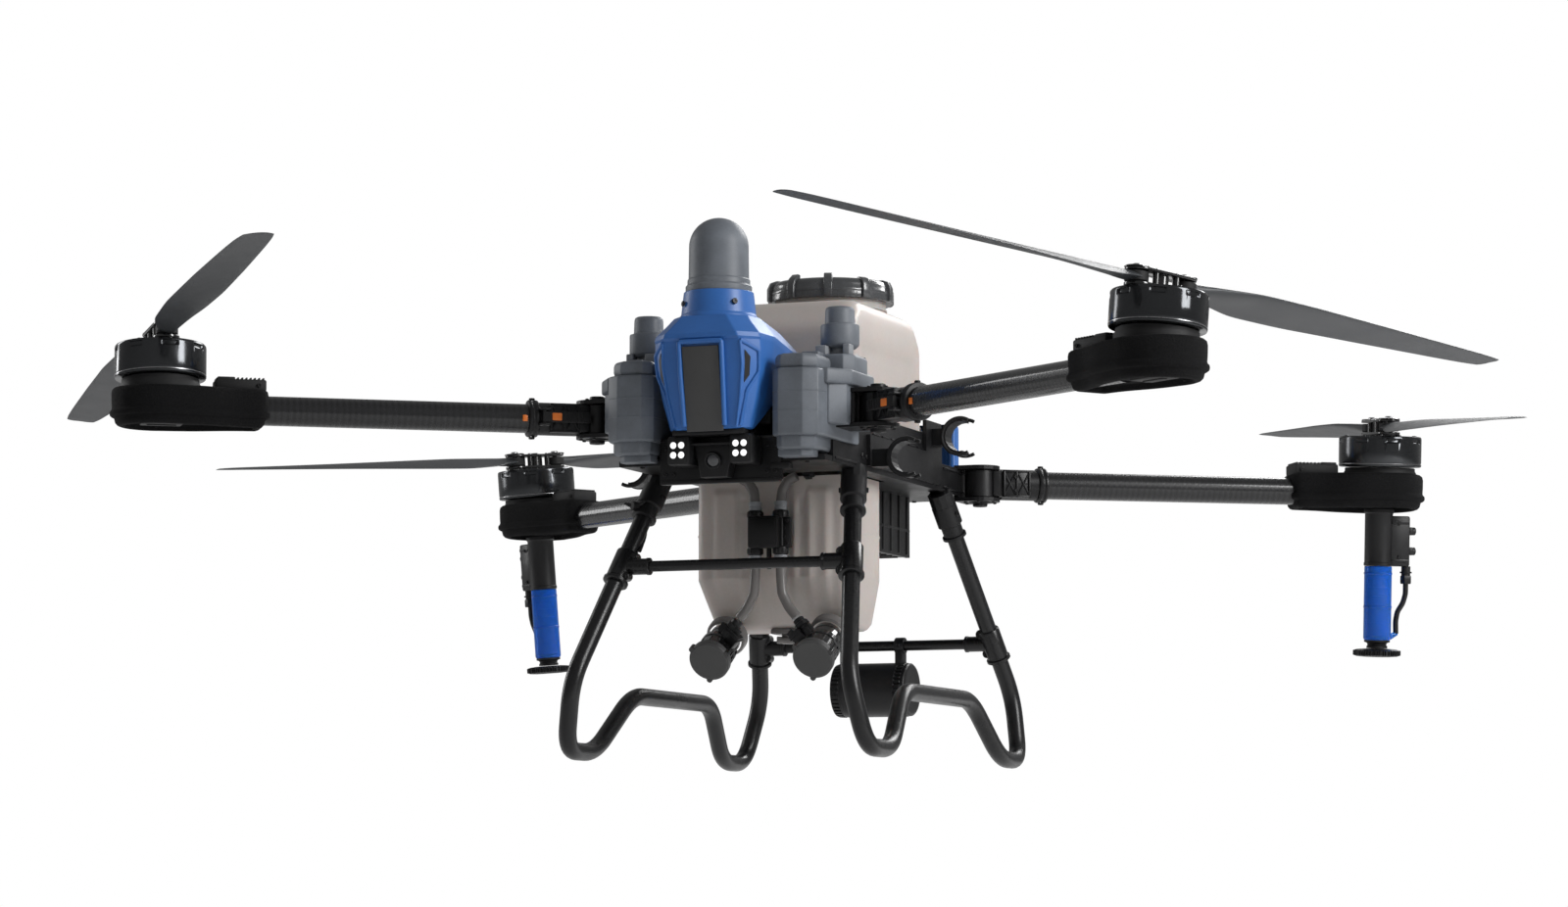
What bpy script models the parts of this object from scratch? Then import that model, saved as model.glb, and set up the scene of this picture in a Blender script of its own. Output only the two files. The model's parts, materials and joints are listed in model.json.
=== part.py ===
"""Agricultural spray drone: four folding arms, a spray tank, two spinning-disc nozzles.

Metres, +Z up, nose towards -Y, the drone's left side towards +X. Every size below is written in
the build frame, whose Z = 0 is the centre line of the skid tubes; the empty named datum then
brings the middle of the belly plate's underside to the world origin.
"""

import math

import bmesh
import bpy
from mathutils import Matrix, Vector

# ---- overall layout ------------------------------------------------------------------------
BELLY_Z = 0.385            # underside of the belly plate above the skid tube centre line
BELLY_MID_Y = 0.034        # middle of the belly plate behind the tank well
BELLY_THICK = 0.008
DECK_HALF_WIDTH = 0.150
DECK_FRONT_Y = -0.312
DECK_REAR_Y = 0.318
WALL = 0.008
WALL_TOP_FRONT = 0.462
WALL_TOP_REAR = 0.425
WALL_STEP_Y = 0.170

FIT = 0.0003               # gap between pieces that touch
RUN = 0.0005               # gap round pieces that move

# ---- arms ----------------------------------------------------------------------------------
ARM_TUBE_R = 0.020
ARM_COLLAR_R = 0.0235
ARM_RING_R = 0.0255
ARM_RING_X = 0.092
KNUCKLE_R = 0.0225
HINGE_PIN_R = 0.006
CLEVIS_R = 0.029
CLEVIS_THICK = 0.0055
CLEVIS_INNER = 0.0208      # half the clear height between the two clevis plates
FRONT_HINGE = (0.206, -0.258, 0.457)
REAR_HINGE = (0.175, 0.269, 0.403)
FRONT_ARM_REACH = 0.600
REAR_ARM_REACH = 0.620
FRONT_ARM_ANGLE = -35.8    # degrees from +X, left side
REAR_ARM_ANGLE = 33.9
FRONT_FOLD = 127.0         # degrees the front arm swings back into its rest
REAR_FOLD_REST = 119.7     # degrees the rear arm would swing to reach its rest

# ---- rotors --------------------------------------------------------------------------------
MOTOR_TILT = 5.0           # degrees, about the arm
POD_HALF_HEIGHT = 0.026
POD_TAIL = 0.145           # pod length inboard of the motor axis
POD_NOSE = 0.066           # pod length outboard of the motor axis
POD_HALF_WIDTH = 0.064
SEAT_R = 0.052
SEAT_TOP = 0.0380
BELL_R = 0.0615
BELL_BASE = 0.0390
BELL_HEIGHT = 0.046
HUB_SPAN = 0.040           # blade pin from the motor axis
HUB_PLATE = 0.0055
BLADE_GAP_LOW = 0.0915     # top of the hub's lower plate
BLADE_ROOT_THICK = 0.0130
BLADE_PIN_R = 0.004
BLADE_EYE_R = 0.0150
ROTOR_R = 0.5965
PARK = {"front_left": 94.9, "front_right": 95.5, "rear_left": 86.9, "rear_right": 94.7}

# ---- tank ----------------------------------------------------------------------------------
TANK_HALF_WIDTH = 0.1170
TANK_FRONT_Y = -0.120
TANK_LEG_REAR_Y = 0.009
TANK_REAR_Y = 0.180
TANK_BOTTOM_Z = 0.173
TANK_TAPER_Z = 0.243
TANK_TAPER_IN = 0.010
TANK_TOP_Z = 0.638
TANK_WALL = 0.0035
WELL_GAP = 0.003
NECK_Y = 0.113
NECK_R = 0.0800
NECK_TOP_Z = 0.6650
CAP_R = 0.0945
CAP_BASE_Z = 0.6560
CAP_HEIGHT = 0.0300
CAP_LUGS = 10
BATTERY_TOP = 0.4980

# ---- pumps and plumbing --------------------------------------------------------------------
PUMP_X = 0.0765
PUMP_FACE = (-0.166, 0.126)     # Y and Z of the front cap's centre
PUMP_RISE = 30.0                # degrees the pump axis rises to the rear
PUMP_LENGTH = 0.0840
PUMP_R = 0.0270
HOSE_R = 0.0070
HOSE_X = 0.0190
HOSE_Y = -0.1370

# ---- landing gear --------------------------------------------------------------------------
LEG_R = 0.0122
BRACE_R = 0.0075
TEE_R = 0.0158
TEE_LENGTH = 0.046
LEG_TOP = (0.1450, 0.1870, 0.3700)
FRONT_KINK = (0.1990, -0.3560, 0.0930)
REAR_KINK = (0.1990, 0.3450, 0.0930)
FOOT_X = 0.2160
FRONT_FOOT = (-0.3350, -0.2400)     # Y of the corners where the tube meets the ground
REAR_FOOT = (0.2320, 0.3200)
BAR_CORNER = (0.2000, 0.1450, 0.0820)
FRONT_BRACE_Z = 0.253
REAR_BRACE_Z = 0.171
BEND_R = 0.028

# ---- nozzles, in the frame of the tilted motor axis ----------------------------------------
NOZZLE_R = 0.0205
NOZZLE_TOP = -0.0290
NOZZLE_BODY_END = -0.1090
NOZZLE_TUBE_END = -0.2200
NOZZLE_TUBE_WALL = 0.0025
NECK_END = -0.2320
DISC_R = 0.0355
DISC_THICK = 0.0095
SPINDLE_R = 0.0045
HOSE_SMALL_R = 0.0040

BLACK = (0.012, 0.012, 0.013)
YZ_TO_X = Matrix(((0, 0, 1, 0), (1, 0, 0, 0), (0, 1, 0, 0), (0, 0, 0, 1)))   # (x, y, z) to (y, z, x)


def clear_scene():
    for old in list(bpy.data.objects):
        bpy.data.objects.remove(old, do_unlink=True)


def finish(name, colour, roughness, metallic=0.0):
    made = bpy.data.materials.get(name)
    if made is None:
        made = bpy.data.materials.new(name)
        made.use_nodes = True
        shader = made.node_tree.nodes["Principled BSDF"]
        shader.inputs["Base Color"].default_value = (*colour, 1.0)
        shader.inputs["Roughness"].default_value = roughness
        shader.inputs["Metallic"].default_value = metallic
        made.diffuse_color = (*colour, 1.0)
    return made


def shape(bm):
    """A helper object from a bmesh, hidden from renders until fuse uses it."""
    bmesh.ops.recalc_face_normals(bm, faces=bm.faces)
    mesh = bpy.data.meshes.new("shape")
    bm.to_mesh(mesh)
    bm.free()
    helper = bpy.data.objects.new("shape", mesh)
    bpy.context.scene.collection.objects.link(helper)
    helper.hide_render = True
    helper.display_type = "WIRE"
    return helper


def box(low, high, bevel=0.0, place=None):
    bm = bmesh.new()
    bmesh.ops.create_cube(bm, size=1.0)
    size = Vector(high) - Vector(low)
    middle = (Vector(high) + Vector(low)) / 2
    bmesh.ops.scale(bm, vec=size, verts=bm.verts)
    bmesh.ops.translate(bm, vec=middle, verts=bm.verts)
    if bevel:
        bmesh.ops.bevel(bm, geom=bm.edges[:], offset=bevel, segments=1, affect="EDGES")
    if place:
        bm.transform(place)
    return shape(bm)


def along(start, end):
    """The matrix that puts +Z along start to end, with its origin halfway."""
    start = Vector(start)
    run = Vector(end) - start
    turn = run.to_track_quat("Z", "Y").to_matrix().to_4x4()
    return Matrix.Translation(start + run / 2) @ turn, run.length


def bar(start, end, radius, sides=16, end_radius=None, place=None):
    bm = bmesh.new()
    matrix, length = along(start, end)
    last = radius if end_radius is None else end_radius
    bmesh.ops.create_cone(bm, cap_ends=True, segments=sides, radius1=radius, radius2=last,
                          depth=length, matrix=matrix)
    if place:
        bm.transform(place)
    return shape(bm)


def slab(outline, low, high, place=None):
    """An outline of (x, y) points raised from height low to height high."""
    bm = bmesh.new()
    face = bm.faces.new([bm.verts.new((x, y, low)) for x, y in outline])
    grown = bmesh.ops.extrude_face_region(bm, geom=[face])
    raised = [item for item in grown["geom"] if isinstance(item, bmesh.types.BMVert)]
    bmesh.ops.translate(bm, vec=(0, 0, high - low), verts=raised)
    if place:
        bm.transform(place)
    return shape(bm)


def loft(rings, place=None):
    """Rings of equally many points, bridged in order, with a flat face at each end."""
    bm = bmesh.new()
    loops = [[bm.verts.new(point) for point in ring] for ring in rings]
    count = len(loops[0])
    bm.faces.new(loops[0])
    bm.faces.new(reversed(loops[-1]))
    for lower, upper in zip(loops, loops[1:]):
        for index in range(count):
            after = (index + 1) % count
            bm.faces.new((lower[index], lower[after], upper[after], upper[index]))
    if place:
        bm.transform(place)
    return shape(bm)


def turned(profile, sides=24, place=None):
    """A profile of (radius, height) points turned about Z; a point on the axis closes an end."""
    bm = bmesh.new()
    rings = []
    for side in range(sides):
        angle = math.tau * side / sides
        ring = [bm.verts.new((r * math.cos(angle), r * math.sin(angle), z)) for r, z in profile]
        rings.append(ring)
    hollow = all(r > 0 for r, z in profile)
    spans = len(profile) if hollow else len(profile) - 1
    for side in range(sides):
        here = rings[side]
        there = rings[(side + 1) % sides]
        for step in range(spans):
            after = (step + 1) % len(profile)
            bm.faces.new((here[step], there[step], there[after], here[after]))
    bmesh.ops.remove_doubles(bm, verts=bm.verts, dist=1e-7)
    if place:
        bm.transform(place)
    return shape(bm)


def rounded_route(points, radius, steps):
    """The points with each inner corner replaced by an arc of the given radius."""
    points = [Vector(p) for p in points]
    route = [points[0]]
    for before, corner, after in zip(points, points[1:], points[2:]):
        inward = (before - corner).normalized()
        outward = (after - corner).normalized()
        half = inward.angle(outward) / 2
        reach = radius / math.tan(half)
        centre = corner + (inward + outward).normalized() * (radius / math.sin(half))
        first = corner + inward * reach - centre
        last = corner + outward * reach - centre
        sweep = first.angle(last)
        for step in range(steps + 1):
            share = step / steps
            ahead = math.sin((1 - share) * sweep) * first + math.sin(share * sweep) * last
            route.append(centre + ahead / math.sin(sweep))
    route.append(points[-1])
    return route


def smooth_route(points, steps):
    """A Catmull-Rom curve through the points."""
    points = [Vector(p) for p in points]
    padded = [2 * points[0] - points[1], *points, 2 * points[-1] - points[-2]]
    route = []
    for a, b, c, d in zip(padded, padded[1:], padded[2:], padded[3:]):
        for step in range(steps):
            t = step / steps
            route.append(0.5 * (2 * b + (c - a) * t + (2 * a - 5 * b + 4 * c - d) * t * t
                                + (3 * b - a - 3 * c + d) * t * t * t))
    route.append(points[-1])
    return route


def pipe(route, radius, resolution=3, place=None):
    """A round tube along a route, from a curve with a bevel and filled ends."""
    curve = bpy.data.curves.new("route", "CURVE")
    curve.dimensions = "3D"
    curve.bevel_depth = radius
    curve.bevel_resolution = resolution
    curve.use_fill_caps = True
    spline = curve.splines.new("POLY")
    spline.points.add(len(route) - 1)
    for knot, point in zip(spline.points, route):
        knot.co = (*point, 1.0)
    holder = bpy.data.objects.new("route", curve)
    bpy.context.scene.collection.objects.link(holder)
    graph = bpy.context.evaluated_depsgraph_get()
    mesh = bpy.data.meshes.new_from_object(holder.evaluated_get(graph))
    bpy.data.objects.remove(holder, do_unlink=True)
    bm = bmesh.new()
    bm.from_mesh(mesh)
    bmesh.ops.remove_doubles(bm, verts=bm.verts, dist=1e-7)
    if place:
        bm.transform(place)
    return shape(bm)


def fuse(name, material, parts, cuts=(), parent=None, origin=(0, 0, 0)):
    """One closed body named name: the first part, joined with the others, less the cuts."""
    body = parts[0]
    tools = [(tool, "UNION") for tool in parts[1:]] + [(tool, "DIFFERENCE") for tool in cuts]
    for tool, operation in tools:
        modifier = body.modifiers.new(operation.title(), "BOOLEAN")
        modifier.operation = operation
        modifier.solver = "EXACT"
        modifier.object = tool
    graph = bpy.context.evaluated_depsgraph_get()
    mesh = bpy.data.meshes.new_from_object(body.evaluated_get(graph))
    mesh.name = name
    for helper in [body, *[tool for tool, operation in tools]]:
        bpy.data.objects.remove(helper, do_unlink=True)
    mesh.transform(Matrix.Translation(-Vector(origin)))
    mesh.materials.clear()
    mesh.materials.append(material)
    mesh.shade_smooth()
    mesh.set_sharp_from_angle(angle=math.radians(32))
    made = bpy.data.objects.new(name, mesh)
    bpy.context.scene.collection.objects.link(made)
    made.parent = parent
    made.location = origin
    return made


def empty(name, location, turn=0.0, parent=None, tilt=0.0):
    """A frame at location, turned about Z, then tilted about its own X."""
    frame = bpy.data.objects.new(name, None)
    bpy.context.scene.collection.objects.link(frame)
    frame.parent = parent
    frame.location = location
    frame.rotation_euler = (math.radians(tilt), 0, math.radians(turn))
    return frame


def clear_radius(radius, sides):
    """The corner radius of a bore whose flats stay FIT clear of a round bar."""
    return (radius + FIT) / math.cos(math.pi / sides)


def mirrored(point, side):
    return (point[0] * side, point[1], point[2])


def leg_line(end):
    """The upper end and the kink of the leg at the front or the rear, on the left."""
    if end == "front":
        return Vector((LEG_TOP[0], -LEG_TOP[1], LEG_TOP[2])), Vector(FRONT_KINK)
    return Vector(LEG_TOP), Vector(REAR_KINK)


def leg_point(end, height):
    top, kink = leg_line(end)
    return top + (kink - top) * ((top.z - height) / (top.z - kink.z))


def arm_rest_centre(end):
    """Where the folded arm lies: front arms rest behind, rear arms rest ahead."""
    hinge, angle, fold, distance = (
        (FRONT_HINGE, FRONT_ARM_ANGLE, FRONT_FOLD, 0.380)
        if end == "front" else (REAR_HINGE, REAR_ARM_ANGLE, -REAR_FOLD_REST, 0.398))
    heading = math.radians(angle + fold)
    step = Vector((math.cos(heading), math.sin(heading), 0.0))
    return Vector(hinge) + step * distance, step


# ---- the chassis and what is fixed to it ---------------------------------------------------
def clevis(side, hinge, web):
    """Two round-ended plates with a pin between them, on a web that reaches the side wall."""
    x, y, z = hinge
    top = z + CLEVIS_INNER + CLEVIS_THICK
    bottom = z - CLEVIS_INNER - CLEVIS_THICK
    outline = [(side * web[0], y - CLEVIS_R)]
    for step in range(13):
        angle = math.radians(-90 + 180 * step / 12)
        outline.append((side * (x + CLEVIS_R * math.cos(angle)), y + CLEVIS_R * math.sin(angle)))
    outline.append((side * web[0], y + CLEVIS_R))
    inner, outer = sorted((side * (web[0] - 0.001), side * web[1]))
    return [slab(outline, bottom, bottom + CLEVIS_THICK), slab(outline, top - CLEVIS_THICK, top),
            box((inner, y - web[2], bottom + 0.0006), (outer, y + web[2], top - 0.0006)),
            bar(mirrored((x, y, bottom + 0.001), side), mirrored((x, y, top - 0.001), side),
                HINGE_PIN_R, 12)]


def leg_socket(side, end):
    top, kink = leg_line(end)
    heading = (kink - top).normalized()
    start = top - heading * 0.016
    stop = top + heading * 0.022
    return bar(mirrored(start, side), mirrored(stop, side), 0.0180, 12)


def leg_space(side, end):
    """The room that a leg takes in its socket."""
    top, kink = leg_line(end)
    heading = (kink - top).normalized()
    return bar(mirrored(top - heading * FIT, side), mirrored(kink, side), clear_radius(LEG_R, 14), 14)


def make_chassis(datum, black):
    deck_top = BELLY_Z + BELLY_THICK
    half = DECK_HALF_WIDTH - 0.0006
    parts = [box((-half, DECK_FRONT_Y, BELLY_Z), (half, DECK_REAR_Y, deck_top))]
    low = BELLY_Z + 0.001
    wall = [(DECK_FRONT_Y + 0.030, low), (DECK_REAR_Y - 0.010, low),
            (DECK_REAR_Y - 0.010, WALL_TOP_REAR), (WALL_STEP_Y, WALL_TOP_REAR),
            (WALL_STEP_Y, WALL_TOP_FRONT), (DECK_FRONT_Y + 0.030, WALL_TOP_FRONT)]
    for side in (1, -1):
        inner, outer = sorted((side * (DECK_HALF_WIDTH - WALL), side * DECK_HALF_WIDTH))
        parts.append(slab(wall, inner, outer, YZ_TO_X))
        parts += clevis(side, FRONT_HINGE, (0.1465, 0.1770, 0.0265))
        parts += clevis(side, REAR_HINGE, (0.1445, 0.1505, 0.0265))
        for end in ("front", "rear"):
            parts.append(leg_socket(side, end))
    inside = DECK_HALF_WIDTH - WALL + 0.001
    parts.append(box((-inside, -0.182, low + 0.001), (inside, -0.174, WALL_TOP_FRONT - 0.006)))
    parts.append(box((-inside, 0.1995, low + 0.001), (inside, 0.2055, WALL_TOP_REAR - 0.001)))
    parts.append(box((-0.088, DECK_FRONT_Y - 0.003, 0.361), (0.088, DECK_FRONT_Y + 0.006, 0.419)))
    parts.append(box((-0.074, 0.050, 0.296), (-0.068, 0.245, BELLY_Z + 0.001)))
    parts.append(box((0.068, 0.050, 0.296), (0.074, 0.245, BELLY_Z + 0.001)))
    parts.append(box((-0.0735, 0.056, 0.2965), (0.0735, 0.239, 0.3020)))
    well = TANK_HALF_WIDTH + WELL_GAP
    cuts = [box((-well, TANK_FRONT_Y - 0.040, BELLY_Z - 0.010),
                (well, TANK_LEG_REAR_Y + WELL_GAP, deck_top + 0.010))]
    for side in (1, -1):
        for end in ("front", "rear"):
            cuts.append(leg_space(side, end))
    fuse("chassis", black, parts, cuts, datum)


def make_shoulders(datum, grey):
    """Stepped covers over the roots of the front arms, each standing on the side wall."""
    top = 0.5220
    inside = DECK_HALF_WIDTH - WALL - 0.0025
    for side, word in ((1, "left"), (-1, "right")):
        outline = [(0.092, -0.345), (0.128, -0.350), (0.162, -0.322), (0.182, -0.290),
                   (0.182, -0.215), (0.160, -0.188), (0.092, -0.188)]
        upper = slab([(side * x, y) for x, y in outline], 0.4860, top)
        block = [(0.092, -0.344), (0.128, -0.348), (0.146, -0.334), (0.146, -0.3155),
                 (inside, -0.3155), (inside, -0.200), (0.092, -0.200)]
        lower = slab([(side * x, y) for x, y in block], 0.3960, 0.4900)
        crown = slab([(side * x, y) for x, y in ((0.100, -0.300), (0.165, -0.270),
                                                 (0.165, -0.200), (0.100, -0.200))],
                     top - 0.002, 0.5340)
        fuse(f"shoulder_{word}", grey, [upper, lower, crown], (), datum)


def make_nose(datum, blue, dark, grey):
    """The faceted cowl: its half widths at four heights, wider and longer in the middle."""
    levels = [(0.4250, 0.058, -0.364, -0.3185, 0.020), (0.5380, 0.077, -0.383, -0.188, 0.022),
              (0.5850, 0.060, -0.368, -0.225, 0.020), (0.6225, 0.046, -0.366, -0.276, 0.016)]
    rings = []
    for z, half, front, rear, corner in levels:
        rings.append([(-half, front + corner, z), (-half + corner, front, z),
                      (half - corner, front, z), (half, front + corner, z),
                      (half * 0.9, rear, z), (-half * 0.9, rear, z)])
    fuse("nose_shell", blue, [loft(rings)], (), datum)
    window = [[(-0.026, -0.3665, 0.424), (0.026, -0.3665, 0.424), (0.026, -0.3645, 0.424),
               (-0.026, -0.3645, 0.424)],
              [(-0.026, -0.3855, 0.536), (0.026, -0.3855, 0.536), (0.026, -0.3835, 0.536),
               (-0.026, -0.3835, 0.536)]]
    fuse("nose_window", dark, [loft(window)], (), datum)
    place = Matrix.Translation((0, -0.3210, 0.6228))
    dome = [(0, 0), (0.0415, 0), (0.0415, 0.0100), (0.0378, 0.0150), (0.0375, 0.0600)]
    for step in range(1, 6):
        angle = math.radians(90 * step / 6)
        dome.append((0.0375 * math.cos(angle), 0.0600 + 0.0355 * math.sin(angle)))
    dome.append((0, 0.0955))
    fuse("mast_dome", grey, [turned(dome, 20, place)], (), datum)


def make_front_fittings(datum, black, grey):
    for side, word in ((1, "left"), (-1, "right")):
        mast = [(0, 0.5343), (0.0265, 0.5343), (0.0265, 0.5600), (0.0205, 0.5640), (0.0190, 0.5980),
                (0.0170, 0.6010), (0, 0.6010)]
        place = Matrix.Translation((side * 0.1410, -0.2300, 0))
        fuse(f"antenna_{word}", grey, [turned(mast, 16, place)], (), datum)
        face = DECK_FRONT_Y - 0.0033
        lamp = box((side * 0.045 - 0.0165, -0.3520, 0.3810), (side * 0.045 + 0.0165, face, 0.4190),
                   0.003)
        fuse(f"headlamp_{word}", black, [lamp], (), datum)
    back = DECK_FRONT_Y - 0.0033
    hood = [[(-0.0275, -0.3440, 0.4080), (0.0275, -0.3440, 0.4080), (0.0180, -0.3380, 0.3640),
             (-0.0180, -0.3380, 0.3640)],
            [(-0.0280, back, 0.4080), (0.0280, back, 0.4080), (0.0220, back, 0.3610),
             (-0.0220, back, 0.3610)]]
    lens = bar((0, -0.3470, 0.3850), (0, -0.3300, 0.3850), 0.0085, 14)
    fuse("camera", black, [loft(hood), lens], (), datum)


def make_tail(datum, blue):
    """A cowl round the back of the battery bay, open at the top and the front."""
    outer = [(-0.118, 0.3220), (-0.118, 0.3420), (-0.100, 0.3600), (0.100, 0.3600),
             (0.118, 0.3420), (0.118, 0.3220), (0.108, 0.3220), (0.108, 0.3385),
             (0.096, 0.3520), (-0.096, 0.3520), (-0.108, 0.3385), (-0.108, 0.3220)]
    fuse("tail_shell", blue, [slab(outer, 0.3940, 0.5000)], (), datum)


def make_arm_rests(datum, black):
    """A wall plate with two C-shaped cradles, open outwards, one for each folded arm."""
    for side, word in ((1, "left"), (-1, "right")):
        wall = DECK_HALF_WIDTH + FIT
        inner, outer = sorted((side * wall, side * (wall + 0.0055)))
        parts = [box((inner, -0.150, 0.3920), (outer, 0.150, 0.4350)),
                 box((inner, 0.085, 0.4300), (outer, 0.1510, 0.4800))]
        cuts = []
        for end in ("front", "rear"):
            centre, step = arm_rest_centre(end)
            half = step * 0.016
            ends = (mirrored(centre - half, side), mirrored(centre + half, side))
            parts.append(bar(*ends, 0.0275, 20))
            stem = centre.x - 0.010
            low, high = sorted((side * (wall + 0.002), side * stem))
            parts.append(box((low, centre.y - 0.015, centre.z - 0.012),
                             (high, centre.y + 0.015, centre.z + 0.012)))
            wide = step * 0.030
            ends = (mirrored(centre - wide, side), mirrored(centre + wide, side))
            cuts.append(bar(*ends, ARM_TUBE_R + 0.0015, 20))
            mouth = (centre.x + 0.004, centre.x + 0.050)
            low, high = sorted((side * mouth[0], side * mouth[1]))
            cuts.append(box((low, centre.y - 0.040, centre.z - 0.040),
                            (high, centre.y + 0.040, centre.z + 0.040)))
        fuse(f"arm_rest_{word}", black, parts, cuts, datum)


def make_landing_gear(datum, black):
    for side, word in ((1, "left"), (-1, "right")):
        front_top, front_kink = leg_line("front")
        rear_top, rear_kink = leg_line("rear")
        corners = [front_top, front_kink, (FOOT_X, FRONT_FOOT[0], 0), (FOOT_X, FRONT_FOOT[1], 0),
                   (BAR_CORNER[0], -BAR_CORNER[1], BAR_CORNER[2]), BAR_CORNER,
                   (FOOT_X, REAR_FOOT[0], 0), (FOOT_X, REAR_FOOT[1], 0), rear_kink, rear_top]
        route = rounded_route([mirrored(Vector(p), side) for p in corners], BEND_R, 4)
        fuse(f"skid_{word}", black, [pipe(route, LEG_R, 3)], (), datum)
    for end, height in (("front", FRONT_BRACE_Z), ("rear", REAR_BRACE_Z)):
        joint = leg_point(end, height)
        top, kink = leg_line(end)
        heading = (kink - top).normalized()
        parts = [bar((-joint.x, joint.y, height), (joint.x, joint.y, height), BRACE_R, 14)]
        cuts = []
        for side in (1, -1):
            half = heading * TEE_LENGTH / 2
            parts.append(bar(mirrored(joint - half, side), mirrored(joint + half, side), TEE_R, 16))
            parts.append(bar(mirrored(joint, side), mirrored(joint - Vector((0.040, 0, 0)), side),
                             BRACE_R + 0.0028, 14))
            wide = heading * TEE_LENGTH
            cuts.append(bar(mirrored(joint - wide, side), mirrored(joint + wide, side),
                            LEG_R + FIT + 0.0002, 20))
        fuse(f"{end}_cross_brace", black, parts, cuts, datum)


def make_terrain_radar(datum, black):
    joint = leg_point("rear", REAR_BRACE_Z)
    drum_z = 0.106
    parts = [bar((-0.0585, joint.y, drum_z), (0.0585, joint.y, drum_z), 0.0400, 24)]
    for x in (-0.040, 0.040):
        parts.append(box((x - 0.006, joint.y - 0.0120, drum_z + 0.030),
                         (x + 0.006, joint.y + 0.0120, REAR_BRACE_Z + 0.0135), 0.002))
    cuts = [bar((-0.10, joint.y, REAR_BRACE_Z), (0.10, joint.y, REAR_BRACE_Z), BRACE_R + FIT, 14)]
    fuse("terrain_radar", black, parts, cuts, datum)


# ---- tank, pumps and battery ---------------------------------------------------------------
def tank_ring(z, inset, squeeze=0.0):
    """The leg of the tank at height z: its four corners cut off, less a wall."""
    half = TANK_HALF_WIDTH - inset - squeeze
    front = TANK_FRONT_Y + inset
    rear = TANK_LEG_REAR_Y - inset
    cut = 0.014
    return [(-half, front + cut, z), (-half + cut, front, z), (half - cut, front, z),
            (half, front + cut, z), (half, rear - cut, z), (half - cut, rear, z),
            (-half + cut, rear, z), (-half, rear - cut, z)]


def tank_leg(inset):
    """The tank's leg, whose foot slopes back square to the pumps."""
    slope = math.tan(math.radians(PUMP_RISE))
    back = (TANK_TAPER_Z - TANK_BOTTOM_Z) * slope
    foot = tank_ring(TANK_BOTTOM_Z + inset, inset, TANK_TAPER_IN)
    foot = [(x, y + back if y < -0.060 else y, z) for x, y, z in foot]
    top = 0.430
    return loft([foot, tank_ring(TANK_TAPER_Z, inset), tank_ring(top, inset)])


def tank_bulk(inset):
    """The tank above the deck, which reaches back over it and slopes in to its top."""
    low = BELLY_Z + BELLY_THICK + FIT + inset
    rings = []
    for z, side_in, front_in, rear_in in ((low, 0.008, 0.008, 0.008), (low + 0.008, 0, 0, 0),
                                          (0.590, 0, 0, 0), (0.622, 0.006, 0.030, 0.006),
                                          (TANK_TOP_Z - inset, 0.024, 0.060, 0.020)):
        half = TANK_HALF_WIDTH + 0.001 - inset - side_in
        front = TANK_FRONT_Y + inset + front_in
        rear = TANK_REAR_Y - inset - rear_in
        cut = 0.012
        rings.append([(-half, front + cut, z), (-half + cut, front, z), (half - cut, front, z),
                      (half, front + cut, z), (half, rear - cut, z), (half - cut, rear, z),
                      (-half + cut, rear, z), (-half, rear - cut, z)])
    return loft(rings)


def make_tank(datum, milky):
    place = Matrix.Translation((0, NECK_Y, 0))
    low = TANK_TOP_Z - 0.038
    knee = TANK_TOP_Z - 0.006
    neck = turned([(0, low), (NECK_R - 0.020, low), (NECK_R, knee), (NECK_R, NECK_TOP_Z),
                   (0, NECK_TOP_Z)], 32, place)
    hollow_top = tank_bulk(TANK_WALL)
    hollow_leg = tank_leg(TANK_WALL)
    bore = NECK_R - TANK_WALL
    mouth = turned([(0, low), (bore - 0.020, low), (bore, knee), (bore, NECK_TOP_Z + 0.01),
                    (0, NECK_TOP_Z + 0.01)], 32, place)
    fuse("tank", milky, [tank_bulk(0.0), tank_leg(0.0), neck], [hollow_top, hollow_leg, mouth],
         datum)


def make_tank_cap(datum, smoke):
    bore = NECK_R + RUN
    top = CAP_BASE_Z + CAP_HEIGHT
    profile = [(0, NECK_TOP_Z + RUN), (bore, NECK_TOP_Z + RUN), (bore, CAP_BASE_Z),
               (CAP_R - 0.0055, CAP_BASE_Z), (CAP_R - 0.003, top - 0.008),
               (CAP_R - 0.014, top), (CAP_R - 0.026, top), (CAP_R - 0.028, top - 0.006),
               (0, top - 0.006)]
    place = Matrix.Translation((0, NECK_Y, 0))
    parts = [turned(profile, 30, place)]
    for index in range(CAP_LUGS):
        turn = place @ Matrix.Rotation(math.tau * index / CAP_LUGS, 4, "Z")
        parts.append(box((CAP_R - 0.012, -0.006, CAP_BASE_Z + 0.001),
                         (CAP_R, 0.006, top - 0.003), 0, turn))
    fuse("tank_cap", smoke, parts, (), datum, (0, NECK_Y, CAP_BASE_Z))


def make_pumps(datum, black):
    """Two diaphragm pumps square to the sloping foot of the tank, each with a hose elbow."""
    rise = math.radians(PUMP_RISE)
    heading = Vector((0, math.cos(rise), math.sin(rise)))
    for side, word in ((1, "left"), (-1, "right")):
        face = Vector((side * PUMP_X, *PUMP_FACE))
        place = Matrix.Translation(face) @ heading.to_track_quat("Z", "Y").to_matrix().to_4x4()
        profile = [(0, 0), (0.0270, 0), (0.0290, 0.0020), (0.0290, 0.0110), (PUMP_R, 0.0125),
                   (PUMP_R - 0.002, 0.0600), (0.0225, 0.0620), (0.0225, PUMP_LENGTH - 0.0040),
                   (0, PUMP_LENGTH - 0.0040)]
        body = turned(profile, 20, place)
        start = face + heading * 0.032
        end = Vector((side * 0.0450, HOSE_Y, 0.1830))
        elbow = bar(start, end, 0.0085, 12)
        fuse(f"pump_{word}", black, [body, elbow], (), datum)


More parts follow.
